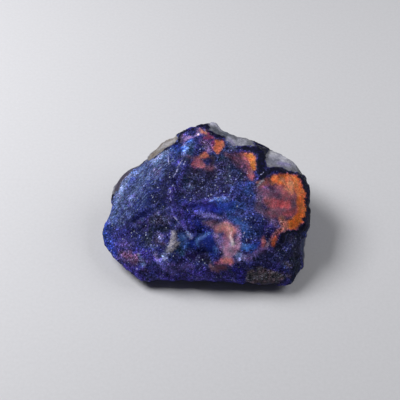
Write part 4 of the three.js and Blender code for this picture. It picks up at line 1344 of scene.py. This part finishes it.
@dataclass
class DisplayFace:
    """The lump's places as the display face has them."""

    places: np.ndarray  # mm from the lump's heart
    normals: np.ndarray
    seen: np.ndarray = field(init=False)  # across and up, as the eye sees them
    out: np.ndarray = field(init=False)
    facing: np.ndarray = field(init=False)  # 1 where a place looks at the eye, 0 where it is edge-on
    front: np.ndarray = field(init=False)  # 1 where the face's own marks show, 0 behind it

    def __post_init__(self) -> None:
        """Works out the places on the face and how far they look out of it."""
        lean = np.array(Matrix.Rotation(-FACE_LEAN, 3, "X"))
        across, up, self.out = lean @ self.places.T
        self.seen = np.stack([across, up], axis=1) * (SEEN_FROM / (SEEN_FROM - self.out))[:, None]
        sight = np.array(FACE_OUT) * SEEN_FROM - self.places
        sight /= np.linalg.norm(sight, axis=1)[:, None]
        self.facing = (self.normals * sight).sum(1)
        self.front = ease((self.facing + PAST_EDGE) / EDGE_FADE)

    def strayed(self, wanders: tuple[Pair, ...], salt: int) -> np.ndarray:
        """Shifts the places on the face here and there, which breaks up the edges of what is laid out on it.

        Args:
            wanders: For each size of shift, the largest one and how far apart the shifts differ, in mm.
            salt: Picks one of many independent patterns.

        Returns:
            The shifted places (across, up).
        """
        strayed = self.seen
        for step, (reach, size) in enumerate(wanders):
            salts = (salt + 4 * step, salt + 4 * step + 1)
            strayed = strayed + reach * np.stack([swell(self.places, size, one, 2) for one in salts], axis=1)
        return strayed

    def covered(self, strokes: tuple[Stroke, ...], seen: np.ndarray) -> np.ndarray:
        """How far strokes with soft edges cover each place, from 0 to 1."""
        covers = [ease(stroke.depth(seen) / PATCH_BLUR + 0.5) for stroke in strokes]
        return np.max(covers, axis=0) * self.front


@dataclass(frozen=True)
class Moods:
    """The slow changes over the stone that its colours follow."""

    drift: np.ndarray  # of hue, from 0 to 1
    tone: np.ndarray  # from 0 to 1
    cloud: np.ndarray  # of light, from about -1 to 1
    shade: np.ndarray  # the relief in mm, from which shade is painted into hollows and light onto rises


@dataclass
class Lump:
    """The dressed stone, which stands for the CAD node: same shape, with its fine relief and its colours."""

    node: str = "afghanite_stone"
    body: str = "root"
    slot: str = "blue_rock"
    cuts: int = 2  # rounds of cutting each triangle in four
    smoothing: int = 3
    grains: tuple[Grain, ...] = (Grain(2.1, 0.34, 0.6), Grain(1.0, 0.17, 0.6), Grain(0.5, 0.06, 0.4))
    backs: tuple[Grain, ...] = (Grain(4.8, 0.8, 1.0), Grain(2.3, 0.4, 0.9))  # broad breaks at the back
    islands: Pair = (5.0, 10.0)  # mm across, and how steeply they cut into the marble behind
    island_push: Pair = (0.6, 0.5)  # width and reach of the swirls that bend them, as shares of their width
    island_floor: float = 0.25  # the level of the pattern past which there is an island
    crust_reach: float = 3.8  # mm behind the heart where the crust gives way to marble
    behind_slope: float = 0.8
    lobes: Pair = (1.8, 4.5)  # mm that the marble's edge behind strays, and mm across its lobes
    lobe_edges: Pair = (0.6, 1.6)
    marble_hold: float = 7.0  # mm by which that marble is kept off what the eye can see
    border_hold: float = 3.0
    mark_turn: Pair = (8.0, 0.02)  # how steeply the face's marks end where it turns away, and where
    border_off: float = 0.35  # mm from the marble's edge to the middle of its dark border
    border_half: float = 0.45
    mark_limit: float = 2.0  # mm inside or outside a mark past which nothing changes
    rim_fray: Pair = (0.22, 1.3)  # mm that a rim's edge strays, and how far apart it differs
    mark_wander: tuple[Pair, ...] = ((0.3, 1.1), (0.12, 0.5))
    wash_wander: tuple[Pair, ...] = ((0.45, 1.3), (0.3, 0.55))
    glow_wander: tuple[Pair, ...] = ((0.2, 1.3), (0.14, 0.55))
    lump_size: float = 0.7
    lump_height: float = 0.08
    fullness: float = 0.14  # mm by which the skin is let out again after the smoothing
    marble_sink: float = 0.08  # mm that the marble lies below the crust
    marble_soft: float = 0.3  # mm over which it steps down
    marble_calm: float = 0.6  # the share of the relief that the marble lacks on the face
    smooth_calm: float = 0.5  # the share that smooth crust lacks
    rim_rise: float = 0.16
    rim_soft: float = 0.4
    back_turn: Pair = (2.5, 0.35)  # how steeply the back's broad breaks set in past the edge, and where
    drift_size: float = 3.2
    tone_size: float = 2.1
    cloud_size: float = 1.1
    shade_limits: Pair = (-0.3, 0.25)
    ground_cloud: float = 0.45  # how strongly the clouds light the bare ground,
    wash_cloud: float = 0.35  # the washes over it,
    warm_cloud: float = 0.15  # and the warm patches
    wash_painted_shade: float = 2.2  # how strongly the relief paints shade into the washes' hollows and light onto their rises
    # the painted shade and light of the relief on the warm patches
    warm_painted_shade: float = 0.8
    smooth_even: float = 0.6  # the share of this light and shade that smooth crust lacks
    veil: float = 0.2  # how strongly clouds and the relief's painted shade show on the marble, twice as strongly at the back
    # the painted shade and light of the relief on the marble
    marble_painted_shade: float = 0.6
    sugar_range: Pair = (0.55, 0.35)  # how sugary all crust is, and how much more where its hue drifts
    warm_bare: float = 0.85  # the share of its sugar that a warm patch lacks
    smooth_bare: float = 0.75  # and the share that smooth crust lacks
    speckled_sugar: float = 1.1

    def build(self) -> bpy.types.Object:
        """Makes the piece and hands it to the frame.

        Returns:
            The finished piece.
        """
        mesh = self.cut_mesh()
        piece = bpy.data.objects.new("afghanite_lump", mesh)
        bpy.context.scene.collection.objects.link(piece)
        face = DisplayFace(*self.read(mesh))
        depths = self.mark_depths(face)
        smooth = face.covered(SMOOTH, face.seen)
        relief = self.roughen(mesh, face, depths, smooth)
        self.colour(mesh, face, depths, relief, smooth)
        mesh.materials.clear()
        mesh.materials.append(RockFinish().material())
        mesh.shade_smooth()
        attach(piece, self.body)
        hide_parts(self.node)
        return piece

    def cut_mesh(self) -> bpy.types.Mesh:
        """Copies the CAD node's mesh, joins its triangles and cuts them finer.

        Returns:
            The new mesh.
        """
        cage = bmesh.new()
        cage.from_mesh(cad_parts[self.node].data)
        bmesh.ops.remove_doubles(cage, verts=cage.verts, dist=1e-3 * MM)
        every_way = {"use_axis_x": True, "use_axis_y": True, "use_axis_z": True}
        for _ in range(self.cuts):
            bmesh.ops.subdivide_edges(cage, edges=cage.edges, cuts=1, use_grid_fill=True)
            for _ in range(self.smoothing):
                bmesh.ops.smooth_vert(cage, verts=cage.verts, factor=0.5, **every_way)
        mesh = bpy.data.meshes.new("afghanite_lump")
        cage.to_mesh(mesh)
        cage.free()
        return mesh

    @staticmethod
    def read(mesh: bpy.types.Mesh) -> tuple[np.ndarray, np.ndarray]:
        """Reads where the mesh's vertices are.

        Args:
            mesh: The lump's mesh.

        Returns:
            Their places in mm from the heart, and their normals.
        """
        places, normals = np.zeros((2, len(mesh.vertices) * 3))
        mesh.vertices.foreach_get("co", places)
        mesh.vertex_normals.foreach_get("vector", normals)
        return places.reshape(-1, 3) / MM - (0, 0, HEART_HEIGHT), normals.reshape(-1, 3)

    def mark_depths(self, face: DisplayFace) -> dict[Mark, np.ndarray]:
        """How far inside each mark every place is.

        Args:
            face: The lump's places on the display face.

        Returns:
            Depths in mm for each mark.
        """
        depths = {}
        strayed = face.strayed(self.mark_wander, Salt.MARKS)
        for mark, strokes in MARKS.items():
            seen = face.seen if mark is Mark.THREAD_AND_HIGHLIGHT else strayed
            depths[mark] = np.max([stroke.depth(seen) for stroke in strokes], axis=0)
        reach, size = self.rim_fray
        depths[Mark.RIM] += reach * swell(face.places, size, Salt.RIM)
        depths[Mark.MARBLE] = np.maximum(depths[Mark.MARBLE], self.marble_behind(face))
        steep, past = self.mark_turn
        for mark in (Mark.RIM, Mark.THREAD_AND_HIGHLIGHT, Mark.CRUMB):
            depths[mark] = np.minimum(depths[mark], steep * (face.facing + past))
        border = self.border_half - np.abs(depths[Mark.MARBLE] + self.border_off)
        behind = border - self.border_hold * np.clip(face.facing, 0, 1)
        depths[Mark.RIM] = np.maximum(depths[Mark.RIM], behind)
        limit = self.mark_limit
        return {mark: np.clip(depth, -limit, limit) for mark, depth in depths.items()}

    def marble_behind(self, face: DisplayFace) -> np.ndarray:
        """How far inside the marble the places are that the display face hides.

        Args:
            face: The lump's places on the display face.

        Returns:
            Depths in mm: the marble lies at the back, in lobes, with islands of crust left on it.
        """
        size, steep = self.islands
        swirl, bend = self.island_push
        push = [swell(face.places, swirl * size, Salt.PUSH + 2 * axis) for axis in range(3)]
        pushed = face.places + bend * size * np.stack(push, axis=1)
        stray, width = self.lobes
        edge_stray, edge_width = self.lobe_edges
        lobes = stray * swell(pushed, width, Salt.LOBES)
        lobes += edge_stray * swell(face.places, edge_width, Salt.LOBE_EDGES)
        islands = steep * np.clip(swell(pushed, size, Salt.ISLANDS) - self.island_floor, 0, 1)
        behind = self.behind_slope * (-face.out - self.crust_reach)
        return behind + lobes - islands - self.marble_hold * np.clip(face.facing, 0, 1)

    def roughen(
        self, mesh: bpy.types.Mesh, face: DisplayFace, depths: dict[Mark, np.ndarray], smooth: np.ndarray
    ) -> np.ndarray:
        """Breaks the skin into scoops and grains along its normals, and raises the ridges and rims.

        Args:
            mesh: The lump's mesh.
            face: Its places on the display face.
            depths: How far inside each mark every place is.
            smooth: How smooth the crust is at each place, from 0 to 1.

        Returns:
            The relief of the crust: how high each place stands over its surroundings, in mm.
        """
        marble = ease(depths[Mark.MARBLE] / self.marble_soft + 0.5)
        rise = self.lump_height * swell(face.places, self.lump_size, Salt.LUMPS)
        for step, grain in enumerate(self.grains):
            rise += grain.depth * bowls(face.places, grain.size, grain.tilt, Salt.SCOOPS + 10 * step)
        rise *= (1 - self.marble_calm * marble * face.front) * (1 - self.smooth_calm * smooth)
        steep, past = self.back_turn
        hidden = ease(-steep * face.facing - past)
        for step, grain in enumerate(self.backs):
            rise += hidden * grain.depth * bowls(face.places, grain.size, grain.tilt, Salt.BACKS + 10 * step)
        for ridge in RIDGES:
            away = -ridge.stroke.depth(face.seen)
            rise += ridge.height * np.clip(1 - away / ridge.width, 0, 1) * face.front
        relief = rise.copy()
        rise += self.fullness - self.marble_sink * marble
        rise += self.rim_rise * ease(depths[Mark.RIM] / self.rim_soft + 0.5)
        places = (face.places + face.normals * rise[:, None] + (0, 0, HEART_HEIGHT)) * MM
        mesh.vertices.foreach_set("co", np.clip(places, *np.array(CAD_BOX)).ravel())
        mesh.update()
        return relief

    def colour(
        self,
        mesh: bpy.types.Mesh,
        face: DisplayFace,
        depths: dict[Mark, np.ndarray],
        relief: np.ndarray,
        smooth: np.ndarray,
    ) -> None:
        """Writes the ground colours, the marks and the masks as attributes of the mesh.

        Args:
            mesh: The lump's mesh.
            face: Its places on the display face.
            depths: How far inside each mark every place is.
            relief: How high each place stands over its surroundings, for the painted shade and light.
            smooth: How smooth the crust is at each place, from 0 to 1.
        """
        moods = Moods(
            drift=0.5 + 0.5 * swell(face.places, self.drift_size, Salt.DRIFT),
            tone=0.5 + 0.5 * swell(face.places, self.tone_size, Salt.TONE),
            cloud=swell(face.places, self.cloud_size, Salt.CLOUD),
            shade=np.clip(relief, *self.shade_limits),
        )
        for name, salt in GROUNDS.items():
            seen = face.strayed(self.wash_wander, salt)
            ground, warm = self.ground(face, moods, smooth, seen, face.strayed(self.glow_wander, salt))
            self.write_colour(mesh, name, ground)
        self.write_colour(mesh, "pale", self.marble(face, moods, seen))
        values = {mark.value: depth for mark, depth in depths.items()}
        least, more = self.sugar_range
        crusty = (least + more * ease(1.5 * moods.drift)) * (1 - self.warm_bare * warm)
        speckled = self.speckled_sugar * face.covered(SPECKLED, seen)
        values["sugar"] = (1 - self.smooth_bare * smooth) * np.maximum(crusty, speckled)
        values["warm"] = warm
        values["streak"] = ease(STREAKED.depth(face.seen) + 0.5) * face.front
        for name, value in values.items():
            mesh.attributes.new(name, "FLOAT", "POINT").data.foreach_set("value", value.astype(np.float32))

    def ground(
        self, face: DisplayFace, moods: Moods, smooth: np.ndarray, seen: np.ndarray, snug: np.ndarray
    ) -> tuple[np.ndarray, np.ndarray]:
        """One lay of the crust's colour.

        Args:
            face: The lump's places on the display face.
            moods: The slow changes of hue and light.
            smooth: How smooth the crust is at each place, from 0 to 1.
            seen: The places that the washes are set out on.
            snug: The places that the warm patches are set out on, which stray less.

        Returns:
            The colours, and how warm each place is, from 0 to 1.
        """
        ground = self.tinted(linear(Tint.INDIGO.value), Tint.VIOLET, ease(1.6 * moods.drift - 0.3))
        ground = self.tinted(ground, Tint.SLATE, 0.8 * ease(2 * moods.tone - 0.8))
        ground *= np.exp(self.ground_cloud * moods.cloud)[:, None]
        ground, _ = self.washed(ground, WASHES, seen, face)
        # painted shade and light: the relief darkens the hollows and lightens the rises
        light = self.wash_cloud * moods.cloud + self.wash_painted_shade * moods.shade
        ground *= np.exp(light * (1 - self.smooth_even * smooth))[:, None]
        ground, warm = self.washed(ground, GLOWS, snug, face)
        # the same painted shade and light, more weakly, on the warm patches
        light = self.warm_cloud * moods.cloud + self.warm_painted_shade * moods.shade
        return ground * np.exp(warm * light)[:, None], warm

    def marble(self, face: DisplayFace, moods: Moods, seen: np.ndarray) -> np.ndarray:
        """The marble's soft colour.

        Args:
            face: The lump's places on the display face.
            moods: The slow changes of hue and light.
            seen: The places that the marble's own washes are set out on.

        Returns:
            The colours.
        """
        pale = self.tinted(linear(Stain.GREY.value), Stain.BLUE, 0.7 * ease(1.8 * moods.drift - 0.7))
        pale = self.tinted(pale, Stain.YELLOW, 0.7 * ease(2 * moods.tone - 1.1))
        pale, _ = self.washed(pale, MARBLE_WASHES, seen, face)
        veiled = self.veil + self.veil * (1 - face.front)
        # painted shade and light from the relief, on top of the clouds
        return pale * np.exp(veiled * moods.cloud + (self.marble_painted_shade + veiled) * moods.shade)[:, None]

    @staticmethod
    def write_colour(mesh: bpy.types.Mesh, name: str, rows: np.ndarray) -> None:
        """Stores a colour for each vertex."""
        colours = mesh.color_attributes.new(name, "FLOAT_COLOR", "POINT")
        colours.data.foreach_set("color", np.concatenate([rows, np.ones((len(rows), 1))], axis=1).ravel())

    def washed(
        self, ground: np.ndarray, washes: tuple[Wash, ...], seen: np.ndarray, face: DisplayFace
    ) -> tuple[np.ndarray, np.ndarray]:
        """Lays washes over a ground colour.

        Args:
            ground: A colour for each place.
            washes: What to lay over it, in order.
            seen: The places on the display face that the washes are set out on.
            face: The lump's places, which say where the face ends.

        Returns:
            The new colours, and how much of each place the washes cover.
        """
        bare = np.ones(len(ground))
        for one in washes:
            cover = one.cover(seen) * face.front
            ground = self.tinted(ground, one.tint, cover)
            bare *= 1 - cover
        return ground, 1 - bare

    @staticmethod
    def tinted(under: np.ndarray, tint: Tint | Glow | Stain, amount: np.ndarray) -> np.ndarray:
        """Rows of colour with a tint laid over them."""
        return under + (linear(tint.value) - under) * amount[:, None]


@dataclass(frozen=True)
class SoftLight:
    """A square light that looks at the lump's foot."""

    name: str
    place: Triple  # m
    size: float  # m
    watts: float

    def hang(self) -> None:
        """Hangs the light."""
        lamp = bpy.data.lights.new(self.name, "AREA")
        lamp.size = self.size
        lamp.energy = self.watts
        light = bpy.data.objects.new(self.name, lamp)
        light.location = self.place
        light.rotation_euler = (-Vector(self.place)).to_track_quat("-Z", "Y").to_euler()
        bpy.context.scene.collection.objects.link(light)


@dataclass
class Studio:
    """The plain floor, the soft lights and the camera."""

    floor_half: float = 2.0  # m
    key: SoftLight = SoftLight("key", (-0.125, 0.045, 0.16), 0.10, 0.44)  # up to the left
    side: SoftLight = SoftLight("side", (0.14, 0.03, 0.13), 0.12, 0.13)  # weaker, to the right
    dusk: Colour = (0.86, 0.88, 0.95, 1)
    dusk_strength: float = 0.05
    shift: Pair = (-0.015, 0.01)
    lens: float = 85.0

    def build(self) -> None:
        """Makes everything that isn't the stone."""
        self.floor()
        self.key.hang()
        self.side.hang()
        self.surroundings()
        self.camera()

    def floor(self) -> None:
        """Lays the floor that the stone rests on."""
        flat = bmesh.new()
        bmesh.ops.create_grid(flat, x_segments=1, y_segments=1, size=self.floor_half)
        mesh = bpy.data.meshes.new("floor")
        flat.to_mesh(mesh)
        flat.free()
        mesh.materials.append(FloorFinish().material())
        piece = bpy.data.objects.new("floor", mesh)
        bpy.context.scene.collection.objects.link(piece)

    def surroundings(self) -> None:
        """Dims the surroundings."""
        world = bpy.data.worlds.new("studio")
        world.use_nodes = True
        inputs = world.node_tree.nodes["Background"].inputs
        inputs["Color"].default_value = self.dusk
        inputs["Strength"].default_value = self.dusk_strength
        bpy.context.scene.world = world
        bpy.context.scene.view_settings.view_transform = "Standard"

    def camera(self) -> None:
        """Points the camera at the lump's heart, square to the display face."""
        lens = bpy.data.cameras.new("camera")
        lens.lens = self.lens
        lens.shift_x, lens.shift_y = self.shift
        lens.clip_start = 0.005
        camera = bpy.data.objects.new("camera", lens)
        back = Vector(FACE_OUT)
        camera.location = Vector((0, 0, HEART_HEIGHT * MM)) + back * SEEN_FROM * MM
        camera.rotation_euler = (-back).to_track_quat("-Z", "Y").to_euler()
        bpy.context.scene.collection.objects.link(camera)
        bpy.context.scene.camera = camera


def main() -> None:
    """Builds the studio and the stone, and reports each."""
    logging.basicConfig(level=logging.INFO, format="%(name)s: %(message)s")
    Studio().build()
    LOG.info("studio: floor, lights and camera")
    piece = Lump().build()
    LOG.info("%s: %d vertices, %d faces", piece.name, len(piece.data.vertices), len(piece.data.polygons))


if __name__ == "__main__":
    main()
